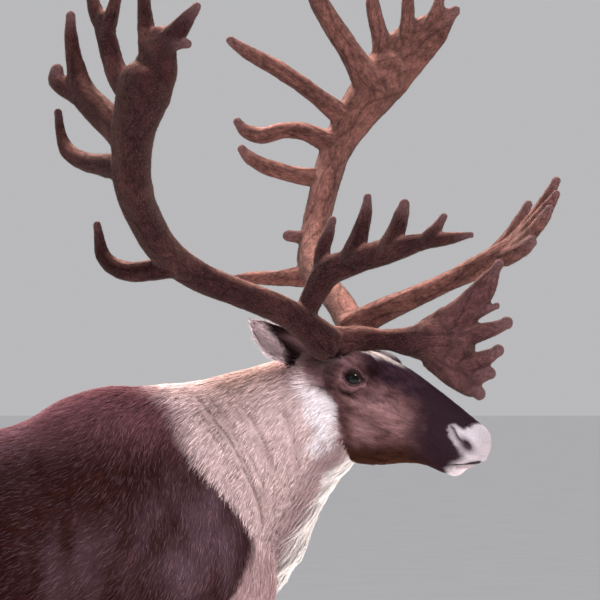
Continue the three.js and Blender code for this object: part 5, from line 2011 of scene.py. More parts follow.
class Coat:
    """The short coat, as fine tufts on every side, cut into pieces by where they grow."""

    slots = {"trunk": "body_coat", "tail": "body_coat", "neck": "neck_coat", "head": "face_coat",
             "ear": "face_coat",
             "pedicle": "face_coat", "foreleg": "leg_coat", "hindleg": "leg_coat"}

    def __init__(self, surface: Surface, finish: FurFinish) -> None:
        """Keeps the skin that the coat grows on."""
        self.surface = surface
        self.finish = finish
        self.rng = np.random.default_rng(2024)

    def build(self) -> list[Piece]:
        """Grows every tuft, and makes the pieces."""
        surface, rng = self.surface, self.rng
        pick = Roots.spread(surface, rng).of
        roots, out = pick(surface.points), unit(pick(surface.normals))
        count = len(roots)
        lie = self.lie(roots, out, unit(pick(surface.lie)))
        length = pick(surface.length) * rng.uniform(0.72, 1.25, count)
        width = np.clip(length * 0.07, 0.55, 1.35) * rng.uniform(0.8, 1.25, count)
        lift = pick(surface.lift) * rng.uniform(0.5, 1.4, count)
        curl = rng.uniform(-0.12, 0.12, count)
        parts, chart = pick(surface.parts), pick(surface.chart)
        grown = Surface(roots, out, surface.triangles[:0], parts, surface.names, lie, chart)
        tint = self.tint(roots, Markings().of(grown), grown.share("neck"), grown.share("head", "ear"))
        where = self.places_of(roots, parts)
        tuft = FINE_TUFT
        pieces = []
        for name in sorted(set(where)):
            mine = where == name
            shape = (values[mine] for values in (roots, out, lie, length, width, lift, curl))
            points, faces = tuft.mesh(*shape)
            stain = self.along(tint[mine], tuft)
            facing = np.repeat(out[mine], 2 + 3 * len(tuft.at), axis=0)
            piece = woven(f"coat_{name}", points, faces, stain, tuft.patches(self.chart(chart[mine])), facing)
            pieces.append(piece)
            self.finish.dress(piece)
            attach(piece, "root")
            LOG.info("%s: %d tufts, %d triangles", piece.name, mine.sum(), len(faces))
        return pieces

    def lie(self, roots: Array, out: Array, lie: Array) -> Array:
        """The lie with the small turns that let tufts run together."""
        side = np.cross(out, lie)
        bend = (
            0.16 * clouds(roots, 46, 51) + 0.20 * clouds(roots, 12, 52)
            + self.rng.normal(0, 0.10, len(roots))
        )
        return unit(lie * np.cos(bend)[:, None] + side * np.sin(bend)[:, None])

    def tint(self, roots: Array, tint: Array, neck: Array, face: Array) -> Array:
        """Each tuft's own colour, flecked more on the grizzled neck, with painted glints of sheen on some
        tufts of the dark coat.
        """
        bright = step(tint[:, 1], 0.4, 0.75)
        vary = (
            1 + self.rng.normal(0, 0.26, len(roots)) * (1 - 0.45 * face) * (1 - 0.6 * bright)
            + 0.06 * clouds(roots, 20, 53)
        )
        fleck = (self.rng.uniform(0, 1, len(roots)) < 0.24 * neck) * 0.42
        bare = np.minimum(1, neck + face)
        # Painted highlights: some tufts of the dark coat are mixed towards the sheen's colour, as lit hair
        glint = (self.rng.uniform(0, 1, len(roots)) < 0.4) * (1 - bare) * (tint[:, 1] < 0.25)
        return np.clip(
            mixed(tint, Shade.SHEEN.light, glint * 0.13) * (vary * (1 - fleck))[:, None], 0.002, 0.95
        )

    def along(self, tint: Array, tuft: Tuft) -> Array:
        """A tuft's colour from its shaded root to its lighter tip."""
        levels = [0.7] + [1.0] * 3 * len(tuft.at) + [1.12]
        return (tint[:, None] * np.array(levels)[None, :, None]).reshape(-1, 3)

    def chart(self, chart: Array) -> Array:
        """The root's place on the skin's unwrap, along the limb and round it, over the whole map."""
        return on_map(np.stack([chart[:, 0], np.arctan2(chart[:, 2], chart[:, 1])], axis=1))

    def places_of(self, roots: Array, parts: Array) -> Array:
        """The name of the piece that each tuft belongs to."""
        names = np.array(self.surface.names)[parts.argmax(axis=1)]
        hand = np.where(roots[:, 1] < 0, "right", "left")
        head_hand = np.where(HEAD.into(roots)[:, 1] < 0, "right", "left")
        half = np.where(roots[:, 0] > -400, "fore", "hind")
        result = names.astype("U32")
        trunk, neck, head = names == "trunk", names == "neck", names == "head"
        result[trunk] = np.char.add(np.char.add("trunk_", half[trunk]), np.char.add("_", hand[trunk]))
        result[neck] = np.char.add("neck_", hand[neck])
        result[head] = np.char.add("head_", head_hand[head])
        return result


# Antlers

BEAMS = {
    "right": Branch(((1, 50, 3), (-19, 88, 33), (-55, 132, 67), (-112, 191, 99), (-167, 240, 127),
                     (-204, 300, 171),
                     (-217, 362, 231), (-215, 410, 288), (-201, 445, 349), (-181, 470, 400),
                     (-152, 492, 454)),
                    (33, 30, 27, 26, 28, 31, 33, 36, 39, 44, 52), 0.8),
    "left": Branch(((0, 50, 3), (-21, 88, 33), (-59, 132, 70), (-116, 191, 107), (-187, 270, 152),
                    (-214, 340, 206),
                    (-220, 405, 301), (-213, 450, 377), (-192, 470, 423), (-167, 488, 465), (-140, 505, 511)),
                   (33, 30, 27, 26, 27, 27, 28, 32, 38, 44, 49), 0.8),
}
TINES = {
    "right": (
        Branch(((-12, 46, 6), (47, 35, 17), (94, 20, 16), (134, 12, 13), (186, 6, 14)),
               (32, 24, 20, 27, 44), 0.7),
        Branch(((172, 6, 22), (240, 5, 64), (283, 4, 113), (307, 3, 150)), (34, 31, 22, 9), 0.45),
        Branch(((165, 6, 10), (212, 5, 5), (236, 4, 3)), (42, 58, 24), 0.26),
        Branch(((185, 5, 0), (228, 4, -41), (255, 4, -68), (270, 4, -80)), (40, 33, 22, 12), 0.5),
        Branch(((246, 4, 56), (303, 4, 76)), (13, 7), 0.9),
        Branch(((232, 4, 20), (300, 4, 37), (322, 4, 46)), (20, 14, 12), 0.8),
        Branch(((226, 4, -34), (288, 4, -13), (306, 4, -3)), (19, 14, 11), 0.8),
        Branch(((240, 4, -62), (290, 4, -43)), (16, 11), 0.9),
        Branch(((-42, 96, 38), (-8, 100, 98), (18, 105, 134), (70, 110, 154), (142, 115, 173),
                (216, 120, 190),
                (269, 122, 196), (306, 125, 201)), (20, 23, 28, 25, 23, 16, 12, 8), 0.75),
        Branch(((10, 103, 140), (8, 100, 175), (19, 98, 207), (26, 97, 228)), (20, 15, 12, 9), 0.9),
        Branch(((65, 108, 150), (83, 105, 205), (94, 104, 242), (97, 103, 268)), (26, 17, 13, 9), 0.85),
        Branch(((142, 114, 170), (157, 110, 212), (166, 108, 240), (171, 108, 256)), (24, 18, 15, 11), 0.85),
        Branch(((216, 120, 188), (240, 118, 217), (251, 116, 234)), (16, 11, 8), 0.9),
        Branch(((-190, 288, 146), (-290, 290, 138), (-334, 285, 163), (-345, 290, 220)), (22, 18, 15, 9)),
        Branch(((-205, 435, 318), (-311, 395, 329), (-362, 375, 351), (-378, 368, 382), (-386, 362, 418)),
               (26, 18, 15, 11, 9)),
        Branch(((-190, 462, 362), (-270, 425, 414), (-318, 402, 454), (-338, 393, 506), (-348, 388, 554),
                (-350, 385, 588)),
               (33, 27, 25, 17, 13, 10)),
        Branch(((-298, 408, 436), (-348, 398, 457), (-373, 394, 476), (-372, 394, 492)), (20, 18, 17, 13),
               0.95),
        Branch(((-165, 486, 436), (-211, 478, 479), (-234, 470, 532), (-246, 465, 576)), (34, 22, 20, 20),
               0.7),
        Branch(((-238, 468, 550), (-265, 460, 597), (-280, 452, 640)), (17, 14, 9)),
        Branch(((-240, 468, 545), (-222, 472, 600), (-201, 478, 655)), (17, 13, 9)),
        Branch(((-152, 492, 440), (-126, 499, 492), (-116, 503, 532)), (47, 43, 32), 0.5),
        Branch(((-138, 502, 520), (-149, 498, 582), (-154, 493, 630), (-160, 488, 668)), (20, 14, 12, 9)),
        Branch(((-126, 503, 518), (-91, 508, 543), (-62, 514, 571), (-38, 519, 594)), (30, 23, 16, 10), 0.7),
        Branch(((-98, 508, 536), (-60, 512, 530)), (20, 10)),
    ),
    "left": (
        Branch(((-8, 44, 14), (44, 41, 15), (76, 38, 21)), (18, 12, 8)),
        Branch(((-30, 80, 32), (37, 88, 66), (95, 105, 92), (158, 118, 121), (223, 128, 153),
                (273, 132, 178)),
               (28, 23, 20, 19, 21, 22), 0.9),
        Branch(((220, 138, 152), (256, 165, 201), (274, 172, 234), (285, 178, 258)), (18, 14, 12, 9)),
        Branch(((262, 138, 172), (304, 142, 221), (333, 144, 262), (354, 146, 300)), (20, 16, 13, 9)),
        Branch(((270, 132, 174), (326, 116, 226), (356, 109, 256), (372, 104, 276)), (16, 14, 12, 9)),
        Branch(((270, 122, 168), (330, 93, 207), (358, 80, 233), (371, 74, 248)), (16, 14, 12, 9)),
        Branch(((262, 122, 162), (315, 93, 180), (334, 80, 191)), (18, 15, 12)),
        Branch(((-178, 262, 130), (-253, 255, 127), (-299, 245, 127), (-330, 238, 126)), (22, 15, 12, 8)),
        Branch(((-222, 420, 308), (-275, 390, 318), (-322, 372, 332), (-354, 362, 349), (-369, 356, 366)),
               (20, 17, 16, 14, 9)),
        Branch(((-212, 445, 368), (-261, 415, 396), (-301, 400, 401), (-341, 385, 391), (-369, 375, 400),
                (-384, 371, 416)),
               (24, 18, 16, 16, 14, 10)),
        Branch(((-190, 468, 412), (-235, 435, 452), (-267, 415, 481), (-308, 395, 512), (-363, 380, 543),
                (-399, 371, 568)),
               (26, 19, 17, 16, 14, 10)),
        Branch(((-150, 482, 466), (-189, 452, 542), (-219, 440, 592), (-246, 431, 638), (-263, 426, 672)),
               (34, 23, 21, 18, 11)),
        Branch(((-152, 496, 484), (-104, 515, 548), (-57, 522, 586), (-28, 526, 611), (-12, 529, 622)),
               (48, 48, 35, 19, 11), 0.45),
        Branch(((-142, 502, 530), (-151, 495, 578), (-161, 490, 624), (-167, 486, 680)), (26, 18, 15, 9)),
        Branch(((-104, 513, 560), (-99, 505, 602), (-97, 502, 640), (-96, 500, 672)), (22, 15, 13, 9)),
        Branch(((-62, 522, 590), (-44, 518, 627), (-37, 516, 656)), (18, 13, 9)),
        Branch(((-215, 335, 200), (-252, 311, 205)), (15, 12)),
    ),
}


class VelvetShade(Paint):
    """The colours of the velvet, some of them painted light."""

    MAIN = (50, 29, 30)
    VEIN = (32, 19, 22)
    # Painted light on the velvet's upper and inner sides
    LIT = (146, 102, 94)
    # Painted light on the brow palm
    LIT_PALM = (98, 66, 68)
    TIP = (98, 73, 76)
    FUZZ = (168, 128, 122)


class Antler:
    """One antler in velvet, over all its branches, with its veins and its fuzz."""

    voxel = 0.0032

    def __init__(self, hand: str) -> None:
        """Lists the branches of one side."""
        self.hand = hand
        self.side = SIDES[hand]
        self.branches = (BEAMS[hand], *TINES[hand])
        self.sleeves = [
            b.sleeve(f"branch_{k}", self.side, CROWN, grow=-1.0) for k, b in enumerate(self.branches)
        ]

    def build(self) -> list[Piece]:
        """Makes the velvet and the fuzz on it."""
        tines = zip(self.sleeves[2:9], TINES[self.hand][1:8])
        knobs = [(s.centre[-7], branch.wide[-1] + 0.2) for s, branch in tines if self.side < 0]
        knobs = [ellipsoid("knob", place, (size, size, size), ANIMAL, 16) for place, size in knobs]
        piece = joined(f"antler_{self.hand}", [sheath(s.name, s.rings) for s in self.sleeves] + knobs)
        finished(piece, "REMESH", mode="VOXEL", voxel_size=self.voxel, adaptivity=0)
        ends = edges(piece)
        points = places(piece)
        for weight in (0.5, -0.52) * 6 + (0.5,):
            points = eased(points, ends, weight, 1)
        part, ring = Nearest(self.sleeves, 1).find(points)
        grain, around, radius, tip = self.fibres(points, part, ring)
        set_places(piece, points)
        turn = normals(piece)
        height, vein = self.relief(points, grain, around, radius)
        points = points + turn * height[:, None]
        set_places(piece, points)
        smooth(piece)
        tint = self.tint(points, turn, vein, tip)
        stained(piece, tint)
        grained(piece, grain / 1000)
        VelvetFinish().dress(piece)
        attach(piece, "root")
        LOG.info("%s: %d faces", piece.name, len(piece.data.polygons))
        fuzz = self.fuzz(piece, tint, grain)
        nodes = [name for name in frame["nodes"] if name.startswith(f"antler_{self.hand}_")]
        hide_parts(*nodes)
        return [piece, fuzz]

    def fibres(self, points: Array, part: Array, ring: Array) -> tuple[Array, Array, Array, Array]:
        """The place along and across its branch of each point, its turn round it, and how near a tip."""
        grain = np.zeros_like(points)
        tip = np.zeros(len(points))
        for k, sleeve in enumerate(self.sleeves):
            mine = part == k
            at = ring[mine]
            off = points[mine] - sleeve.centre[at]
            distance = sleeve.distance
            along = distance[at] + dot(off, sleeve.along[at])
            grain[mine] = np.stack(
                [along + BRANCH_STEP * k, dot(off, sleeve.across[at]), dot(off, sleeve.upward[at])], axis=1
            )
            tip[mine] = step(distance[-1] - along, 60, 0) * (self.branches[k].wide[-1] < 15)
        around = np.arctan2(grain[:, 2], grain[:, 1])
        return grain, around, np.hypot(grain[:, 1], grain[:, 2]), tip

    def relief(self, points: Array, grain: Array, around: Array, radius: Array) -> tuple[Array, Array]:
        """The height of the veins and lumps, and how much of a vein each point is."""
        vein = np.zeros(len(points))
        for k in range(7):
            wander = 0.5 * np.sin(grain[:, 0] / 47 + 1.7 * k) + 0.3 * np.sin(grain[:, 0] / 19 + 2.9 * k)
            off = (around - 0.9 * k - wander + np.pi) % (2 * np.pi) - np.pi
            vein = np.maximum(vein, bell(off * radius, 2.6) * step(radius, 9, 14))
        lumps = 0.9 * clouds(points, 30, 61) + 0.6 * clouds(points, 11, 62)
        burr = bell(np.linalg.norm(CROWN.into(points) - np.array([2, self.side * 51, 4]), axis=1) - 30, 9)
        knots = 2.2 * burr * (1 + clouds(points, 8, 63))
        return 0.9 * vein + lumps + knots, vein

    def tint(self, points: Array, turn: Array, vein: Array, tip: Array) -> Array:
        """Dark velvet, darker by the veins, painted lighter where it faces up or inward and on the brow palm
        as painted light, and warmer at the tips.
        """
        tint = np.broadcast_to(VelvetShade.MAIN.light, (len(points), 3))
        # Painted light: lighter where the velvet faces up and where it faces in towards the head
        inward = step(turn[:, 1] * -self.side, -0.2, 0.8)
        tint = mixed(
            tint, VelvetShade.LIT.light,
            0.75 * step(turn[:, 2], 0.25, 0.9) + 0.42 * inward + 0.12 * clouds(points, 60, 64)
        )
        ahead, aside, up = CROWN.into(points).T
        # Painted light: the brow palm, lighter as lit
        palm = step(ahead, 130, 210) * step(np.abs(aside), 60, 30) * step(up, -120, -60)
        tint = mixed(tint, VelvetShade.LIT_PALM.light, 0.6 * palm)
        tint = mixed(tint, VelvetShade.VEIN.light, 0.5 * vein)
        tint = mixed(tint, VelvetShade.VEIN.light, 0.3 * step(clouds(points, 15, 65), 0.1, 0.7))
        tint = tint * (1 + 0.28 * clouds(points, 7, 66) + 0.2 * clouds(points, 18, 67))[:, None]
        return mixed(tint, VelvetShade.TIP.light, 0.75 * tip**1.5)

    def fuzz(self, piece: Piece, tint: Array, grain: Array) -> Piece:
        """The nap of the velvet, as short fine hairs that stand off it."""
        mesh = piece.data
        mesh.calc_loop_triangles()
        triangles = np.empty(len(mesh.loop_triangles) * 3, np.int32)
        mesh.loop_triangles.foreach_get("vertices", triangles)
        points, turn = places(piece), normals(piece)
        sparse = np.full(len(points), 5.2)
        surface = Surface(
            points, turn, triangles.reshape(-1, 3), np.zeros((0, 0)), [], turn, grain, spacing=sparse
        )
        rng = np.random.default_rng(77 + self.side)
        pick = Roots.spread(surface, rng).of
        roots, out = pick(points), unit(pick(turn))
        count = len(roots)
        lie = rng.normal(0, 1, (count, 3))
        lie = unit(lie - dot(lie, out)[:, None] * out)
        length = rng.uniform(1.6, 3.0, count)
        width = rng.uniform(0.5, 0.85, count)
        lift = rng.uniform(0.5, 1.3, count)
        vertices, faces = FINE_TUFT.mesh(roots, out, lie, length * 0.7, width, lift, np.zeros(count))
        base = (
            mixed(pick(tint), VelvetShade.FUZZ.light, np.full(count, 0.35))
            * rng.normal(1, 0.15, count)[:, None]
        )
        # Painted shade and light along each hair: darker at the root, lighter at the tip where the nap
        # catches the light
        levels = np.array([0.6, 1, 1, 1, 1.25])
        stain = (np.clip(base, 0.003, 0.9)[:, None] * levels[None, :, None]).reshape(-1, 3)
        along = pick(grain)
        length_way = along[:, 0] % BRANCH_STEP + 700 * (along[:, 0] // BRANCH_STEP)
        chart = on_map(np.stack([length_way, np.arctan2(along[:, 2], along[:, 1])], axis=1))
        made = woven(f"fuzz_{self.hand}", vertices, faces, stain, FINE_TUFT.patches(chart))
        FurFinish("velvet_nap", 0.7, 0.04, 0.35, 0.0).dress(made)
        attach(made, "root")
        LOG.info("%s: %d hairs", made.name, count)
        return made


# Hooves

@dataclass(frozen=True)
class Foot:
    """A foot: two broad claws that part towards the toes, and two dewclaws behind the pastern."""

    leg: LegSizes
    apart: float = 21.0
    splay: float = math.radians(9)
    claw: tuple[tuple[float, ...], ...] = (
        (HOOF_HEIGHT - 0.35, 4, 35, 19, 2.2),
        (34, 13, 46, 23, 2.3),
        (8, 20, 56, 26, 2.4),
        (0, 20, 55, 25.5, 2.4),
    )

    def build(self) -> list[Piece]:
        """Makes the horn of the foot, each piece over its own solid."""
        pieces = []
        for place, hand in (("inner", -self.leg.side), ("outer", self.leg.side)):
            for kind, maker in (("claw", self.claw_piece), ("dewclaw", self.dewclaw_piece)):
                node = f"{self.leg.name}_{kind}_{place}"
                piece = maker(f"horn_{node}", hand)
                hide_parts(node)
                HornFinish().dress(piece)
                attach(piece, "root")
                pieces.append(piece)
        return pieces

    def claw_piece(self, name: str, hand: int) -> Piece:
        """A claw, rounded at the coronet and at its sole's edge, with rings of growth."""
        shares = np.concatenate([np.linspace(0, 0.9, 26), np.linspace(0.92, 1, 5)])
        z, ahead, long, thick, square = between(np.array(self.claw, float), shares).T
        turn = turned(hand * self.splay)
        fore, across = turn[:, 0], turn[:, 1]
        foot = self.leg.foot
        spread_out = self.apart + (HOOF_HEIGHT - z) * 0.1
        n = len(z)
        centre = (
            np.stack([np.full(n, foot[0]), foot[1] + hand * spread_out, z], axis=1) + ahead[:, None] * fore
        )
        growth = 0.35 * np.sin(z * 1.15) * step(z, 2, 10)
        crown = np.where(z > HOOF_HEIGHT - 8, (z - HOOF_HEIGHT + 8) * 0.35, 0)
        sole = np.where(z < 2.5, (2.5 - z) * 0.6, 0)
        less = crown + sole - growth
        rings = ovals(
            centre, each(across, n), each(fore, n), thick - less, long - less, long * 0.8 - less, square,
            square, 40
        )
        return smooth(sheath(name, rings))

    def dewclaw_piece(self, name: str, hand: int) -> Piece:
        """A dewclaw, a small blunt claw behind the pastern."""
        x, y = self.leg.foot
        path = ((x - 20, y + hand * 22, 92), (x - 46, y + hand * 27, 62), (x - 58, y + hand * 29, 30))
        branch = Branch(path, (13, 14, 8), 0.75, (1, 0, 0.5))
        return smooth(sheath(name, branch.sleeve(name, 1, ANIMAL, sides=20, pitch=3).rings))


# Eyes

class Eye:
    """One eye: its ball with a bulged cornea, the bare edges of its lids, and its lashes."""

    lid_height = 18.9
    rim = 0.7

    def __init__(self, hand: str) -> None:
        """Keeps the form of the eye on one side."""
        self.hand = hand
        self.form = EYES[hand]

    def build(self) -> list[Piece]:
        """Makes the ball, the rims and the lashes."""
        pieces = [self.ball(), self.rims(), self.lashes()]
        for piece in pieces:
            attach(piece, "root")
        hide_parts(f"eye_{self.hand}")
        return pieces

    def ball(self) -> Piece:
        """The ball, with its iris and pupil stained in."""
        frame_here = self.form.frame
        axes = Frame(frame_here.origin, frame_here.turn[:, [0, 2, 1]])
        piece = ellipsoid(f"eyeball_{self.hand}", (0, 0, 0), (EYE_RADIUS,) * 3, axes, 72)
        local = frame_here.into(places(piece))
        off = np.hypot(local[:, 0], local[:, 2])
        front = local[:, 1] > 0
        bulge = 1.0 * step(off, 14.5, 7) * front
        points = frame_here.out(local * (1 + bulge / EYE_RADIUS)[:, None])
        set_places(piece, points)
        self.stain(piece, local, off, front)
        smooth(piece)
        EyeFinish().dress(piece)
        return piece

    def stain(self, piece: Piece, local: Array, off: Array, front: Array) -> None:
        """Colours the white, the iris and the pupil, each a ring of the ball, with a pale crescent of painted
        light on the iris.
        """
        white, iris, rim, pupil = paint(44, 30, 30), paint(36, 20, 16), paint(10, 7, 8), paint(3, 3, 5)
        tint = np.broadcast_to(white, (len(off), 3))
        tint = mixed(tint, iris, step(off, 15.2, 14.2) * front)
        tint = mixed(tint, rim, bell(off - 14.2, 2.0) * front)
        # A pale crescent at the iris's edge towards the nose: painted light, where the iris catches the light
        tint = mixed(
            tint, paint(170, 126, 126),
            bell(off - 11.6, 0.9) * step(np.abs(local[:, 2] - 1), 7, 3) * (local[:, 0] > 0) * front * 0.6
        )
        hole = np.hypot((local[:, 0] + 1) / 10.2, local[:, 2] / 7.6)
        tint = mixed(tint, pupil, step(hole, 1.12, 0.92) * front)
        stained(piece, tint)
        angle = np.arctan2(local[:, 2], local[:, 0])
        grained(piece, np.stack([np.cos(angle) * 3, np.sin(angle) * 3, off * 0.04], axis=1))

    def edge(self, upper: bool, count: int = 60) -> Array:
        """The line of a lid's edge on the ball, from the rear corner to the one near the nose."""
        t = np.linspace(-1, 1, count)
        ahead = self.form.middle + self.form.long * np.sin(t * np.pi / 2)
        high = self.form.lid(ahead, upper)
        out = np.sqrt(np.maximum(self.lid_height**2 - ahead**2 - high**2, 1))
        return np.stack([ahead, out, high], axis=1)

    def rims(self) -> Piece:
        """The bare dark edges of the two lids, meeting in the tear duct."""
        parts = []
        for upper in (True, False):
            line = self.edge(upper)
            outward = unit(line)
            along = unit(np.gradient(line, axis=0))
            across = unit(np.cross(along, outward))
            lift = 1 if upper else -1
            away = across * np.sign(across[:, 2:3] + 1e-9) * lift
            centre = line + away * 0.7
            size = (
                np.full(len(line), self.rim)
                * np.interp(np.linspace(-1, 1, len(line)), [-1, -0.8, 0.8, 1], [0.75, 1, 1, 0.9])
            )
            two = np.full(len(line), 2.2)
            rings = ovals(centre, away, outward, size * 1.15, size * 0.9, size * 1.6, two, two, 14)
            parts.append(sheath("rim", self.form.frame.out(rings)))
        duct = self.edge(True)[-1]
        parts.append(ellipsoid("duct", duct + [0.8, -0.9, -0.5], (3.0, 1.6, 1.7), self.form.frame, 20))
        piece = smooth(joined(f"lid_rims_{self.hand}", parts))
        BareFinish("lid_skin", Shade.BARE, 0.32).dress(piece)
        return piece

    def lashes(self) -> Piece:
        """Long lashes on the upper lid and short ones on the lower."""
        rng = np.random.default_rng(5)
        rows = []
        for upper, count, reach in ((True, 74, 9.0), (False, 34, 4.0)):
            line = self.edge(upper, 200)[rng.integers(16, 184, count)]
            out = unit(line)
            rows.append((line + out * 0.9, out, upper, reach * rng.uniform(0.7, 1.15, count)))
        roots = np.concatenate([row[0] for row in rows])
        out = np.concatenate([row[1] for row in rows])
        upper = np.concatenate([np.full(len(row[0]), row[2]) for row in rows])
        length = np.concatenate([row[3] for row in rows])
        away = (
            np.where(upper[:, None], [-0.25, 0, 1.0], [-0.2, 0, -1.0])
            + rng.normal(0, 0.16, (len(roots), 3))
        )
        lie = unit(away - dot(away, out)[:, None] * out)
        turn = self.form.frame.turn
        droop = np.where(upper, 0.95, 0.75)
        points, faces = LONG_TUFT.mesh(self.form.frame.out(roots), out @ turn.T, lie @ turn.T, length * 0.72,
                                       np.full(len(roots), 0.42), droop, rng.uniform(-0.2, 0.2, len(roots)))
        piece = woven(f"lashes_{self.hand}", points, faces)
        BareFinish("lash_hair", Shade.BARE, 0.5).dress(piece)
        return piece


# The mane and the long hair

class Mane:
    """The long white hair of the throat and breast, in locks of many strands."""

    def __init__(self, surface: Surface) -> None:
        """Keeps the skin that the mane grows on."""
        self.surface = surface
        self.neck = NeckSizes()
        self.rng = np.random.default_rng(11)

    def build(self) -> list[Piece]:
        """Grows the mane, in two pieces."""
        count = 7000
        rng = self.rng
        share = rng.uniform(0.08, 0.94, count) ** 0.9
        aside = rng.normal(0, 0.30, count)
        aside = np.clip(aside, -1.15, 1.15)
        centre, across, upward, half, depth, _, below = self.neck.sections(share)
        c, s = np.sin(aside), np.cos(aside)
        power = 2 / below
        deep = depth * (1 - self.neck.upper_share) - self.neck.depth
        root = centre + across * ((half - self.neck.depth) * np.sign(c) * np.abs(c) ** power)[:, None]
        root = root - upward * (deep * s**power)[:, None]
        out = unit(across * c[:, None] - upward * s[:, None])
        ahead = (
            self.neck.sections(np.minimum(share + 0.02, 1))[0]
            - self.neck.sections(np.maximum(share - 0.02, 0))[0]
        )
        fall = unit(-unit(ahead) + np.array([-0.25, 0, -1.6]))
        lie = unit(fall - 0.85 * dot(fall, out)[:, None] * out)
        edge = step(np.abs(aside), 0.9, 0.1)
        length = (
            (34 + 86 * edge) * rng.uniform(0.7, 1.2, count)
            * np.interp(share, [0.1, 0.2, 0.8, 1], [0.55, 1, 0.9, 0.5])
        )
        return self.strands(root, out, lie, length, aside, share)

    def strands(
        self, root: Array, out: Array, lie: Array, length: Array, aside: Array, share: Array
    ) -> list[Piece]:
        """Makes wavy strands, some nearer white than others, gathered to points.

        Args:
            root: where each strand starts.
            out: the skin's normal there.
            lie: which way the strand falls.
            length: how long it is.
            aside: how far round the throat it grows.
            share: how far up the neck it grows.

        Returns:
            The pieces.
        """
        rng, count = self.rng, len(root)
        gather = 0.28 * clouds(root, 24, 71) + rng.normal(0, 0.10, count)
        side = np.cross(out, lie)
        lie = unit(lie + side * gather[:, None])
        side = np.cross(out, lie)
        wave = rng.uniform(-0.10, 0.10, count) + 0.12 * clouds(root, 30, 72)
        width = rng.uniform(1.0, 2.0, count)
        middle_hair = step(np.abs(aside), 0.6, 0.15)
        rise = rng.uniform(6, 13, count) + 16 * np.maximum(0, clouds(root, 26, 73)) * middle_hair
        rise = rise + 12 * middle_hair * bell(share - 0.35, 0.2) * rng.uniform(0.3, 1.3, count)
        levels = np.array([0.0, 0.22, 0.5, 0.78])
        rows = []
        for t in levels:
            middle = (
                root + lie * (length * t)[:, None]
                + out * (rise * np.sin(min(1, t * 1.9) * np.pi / 2) - 3 * (t == 0))[:, None]
            )
            middle = middle + side * (length * wave * np.sin(t * 4.2))[:, None]
            wide = (width * (0.7 + 0.9 * t - 1.35 * t * t))[:, None]
            rows += [middle - side * wide / 2, middle + side * wide / 2, middle + out * wide * 0.4]
        rows.append(
            root + lie * length[:, None] + out * (rise * 0.95)[:, None] + side
            * (length * wave * np.sin(4.2))[:, None]
        )
        points = np.stack(rows, axis=1)
        each_one = points.shape[1]
        faces = [(0, 2, 1)] + strand_faces(0, len(levels))
        grey = step(np.abs(aside), 0.16, 0.5) * 0.85 + 0.12 * rng.uniform(0, 1, count)
        white = mixed(np.broadcast_to(Shade.MANE.light, (count, 3)), Shade.CHEST.light, grey)
        white = white * rng.normal(1, 0.06, count)[:, None]
        # Painted shade: each strand darker towards its root
        shade = np.array([0.72] * 3 + [0.88] * 3 + [1.0] * 6 + [1.04])
        tint = np.clip(white[:, None] * shade[None, :, None], 0, 0.95)
        low, high = share.min(), share.max()
        chart = np.stack([(share - low) / (high - low), (aside + 1.2) / 2.4], axis=1) * 0.98 + 0.01
        around = np.linspace(-0.5, 0.5, each_one)
        patch = (
            np.stack([np.tile([-0.5, 0.5, 0.0], each_one // 3 + 1)[:each_one], around], axis=1) * PATCH_SIZE
        )
        made = []
        for name, mine in (("mane_right", aside <= 0), ("mane_left", aside > 0)):
            n = int(mine.sum())
            triangles = (np.arange(n)[:, None, None] * each_one + np.array(faces)[None]).reshape(-1, 3)
            maps = (chart[mine][:, None] + patch[None]).reshape(-1, 2)
            facing = np.repeat(out[mine], each_one, axis=0)
            piece = woven(
                name, points[mine].reshape(-1, 3), triangles, tint[mine].reshape(-1, 3), maps, facing
            )
            FurFinish("mane_hair", 0.55, 0.0, 0.4, 0.02).dress(piece)
            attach(piece, "root")
            LOG.info("%s: %d strands, %d triangles", name, n, len(triangles))
            made.append(piece)
        return made


# The room

@dataclass(frozen=True)
class Lamp:
    """A soft light: where it is, how large, how strong and of what colour."""

    name: str
    place: tuple[float, float, float]
    size: float
    power: float
    colour: tuple[float, float, float] = (1, 1, 1)
    aim: tuple[float, float, float] = (0.3, 0.0, 1.3)

    def build(self) -> None:
        """Hangs the light and points it."""
        bpy.ops.object.light_add(type="AREA", location=self.place)
        lamp = bpy.context.object
        lamp.name = self.name
        lamp.data.shape = "DISK"
        lamp.data.size = self.size
        lamp.data.energy = self.power
        lamp.data.color = self.colour
        way = Vector(self.aim) - Vector(self.place)
        lamp.rotation_euler = way.to_track_quat("-Z", "Y").to_euler()


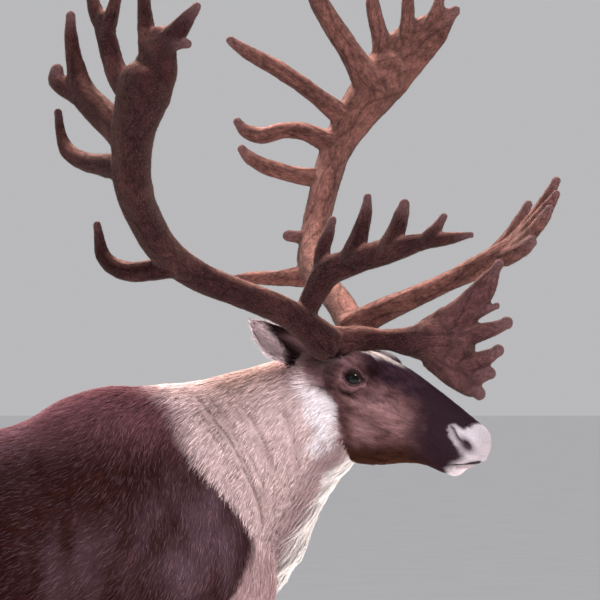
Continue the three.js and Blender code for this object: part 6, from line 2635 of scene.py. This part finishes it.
@dataclass
class Studio:
    """The pale floor, the soft lights and the camera at the photo's angle."""

    distance: float = 14.0
    metres_per_pixel: float = 0.0018
    picture: int = 600
    looks_at: tuple[float, float] = (333.0, 1397.6)
    lamps: tuple[Lamp, ...] = (
        Lamp("rim", (-0.9, 3.4, 5.0), 1.8, 1500, (1.0, 0.90, 0.81)),
        Lamp("key", (1.6, -4.4, 5.6), 1.7, 420, (1.0, 0.98, 0.97)),
        Lamp("fill", (-5.0, -5.0, 2.4), 4.5, 60, (0.93, 0.95, 1.0)),
    )

    def build(self) -> None:
        """Sets up the room."""
        self.floor()
        for lamp in self.lamps:
            lamp.build()
        self.camera()
        self.air()

    def camera(self) -> None:
        """The camera, level, as far off as a long lens stands."""
        data = bpy.data.cameras.new("camera")
        camera = bpy.data.objects.new("camera", data)
        bpy.context.scene.collection.objects.link(camera)
        data.sensor_fit = "HORIZONTAL"
        data.sensor_width = 36.0
        data.lens = data.sensor_width * self.distance / (self.picture * self.metres_per_pixel)
        x, _, z = Ground.down(np.array([self.looks_at[0], 0, self.looks_at[1]]))
        camera.location = (x, -self.distance + Ground.offset[1] / 1000, z)
        camera.rotation_euler = (math.pi / 2, 0, 0)
        bpy.context.scene.camera = camera

    def floor(self) -> None:
        """A wide pale floor."""
        bpy.ops.object.select_all(action="DESELECT")
        bpy.ops.mesh.primitive_plane_add(size=160, location=(0, 0, 0))
        floor = bpy.context.object
        floor.name = "floor"
        n = Nodes("floor_paint")
        speck = n.noise(n.vector(), 3.0, 4.0)
        n.link(
            n.ramp(speck, (0.3, (0.80, 0.80, 0.81)), (0.7, (0.84, 0.84, 0.85))), n.shader.inputs["Base Color"]
        )
        n.shader.inputs["Roughness"].default_value = 0.8
        floor.data.materials.append(n.material)

    def air(self) -> None:
        """The even light of the room."""
        world = bpy.data.worlds.new("room")
        bpy.context.scene.world = world
        world.use_nodes = True
        background = world.node_tree.nodes["Background"]
        background.inputs["Color"].default_value = (0.84, 0.84, 0.86, 1)
        background.inputs["Strength"].default_value = 0.58
        bpy.context.scene.view_settings.view_transform = "Standard"


def main() -> None:
    """Builds the room, the skin, what grows on it, the antlers, the hooves and the eyes."""
    logging.basicConfig(level=logging.INFO, format="%(relativeCreated)d %(message)s")
    bpy.ops.object.select_all(action="DESELECT")
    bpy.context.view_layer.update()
    Ground.find()
    Studio().build()
    hide = Hide()
    skin = hide.build()
    surface = hide.surface()
    Growth().set_on(surface)
    stained(skin, surface.tint * 0.9)
    grain = np.stack([dot(surface.points, surface.lie), surface.chart[:, 1], surface.chart[:, 2]], axis=1)
    grained(skin, grain / 1000)
    HideFinish().dress(skin)
    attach(skin, "root")
    flesh = ["torso", "head", "neck", "tail", "ear_right", "ear_left"] + [leg.name for leg in LEGS]
    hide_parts(*flesh)
    LOG.info("hide: %d triangles", len(surface.triangles))
    Coat(surface, FurFinish()).build()
    Mane(surface).build()
    for hand in SIDES:
        Eye(hand).build()
        Antler(hand).build()
    for leg in LEGS:
        Foot(leg).build()
    LOG.info("all pieces made")


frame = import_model()

if __name__ == "__main__":
    main()
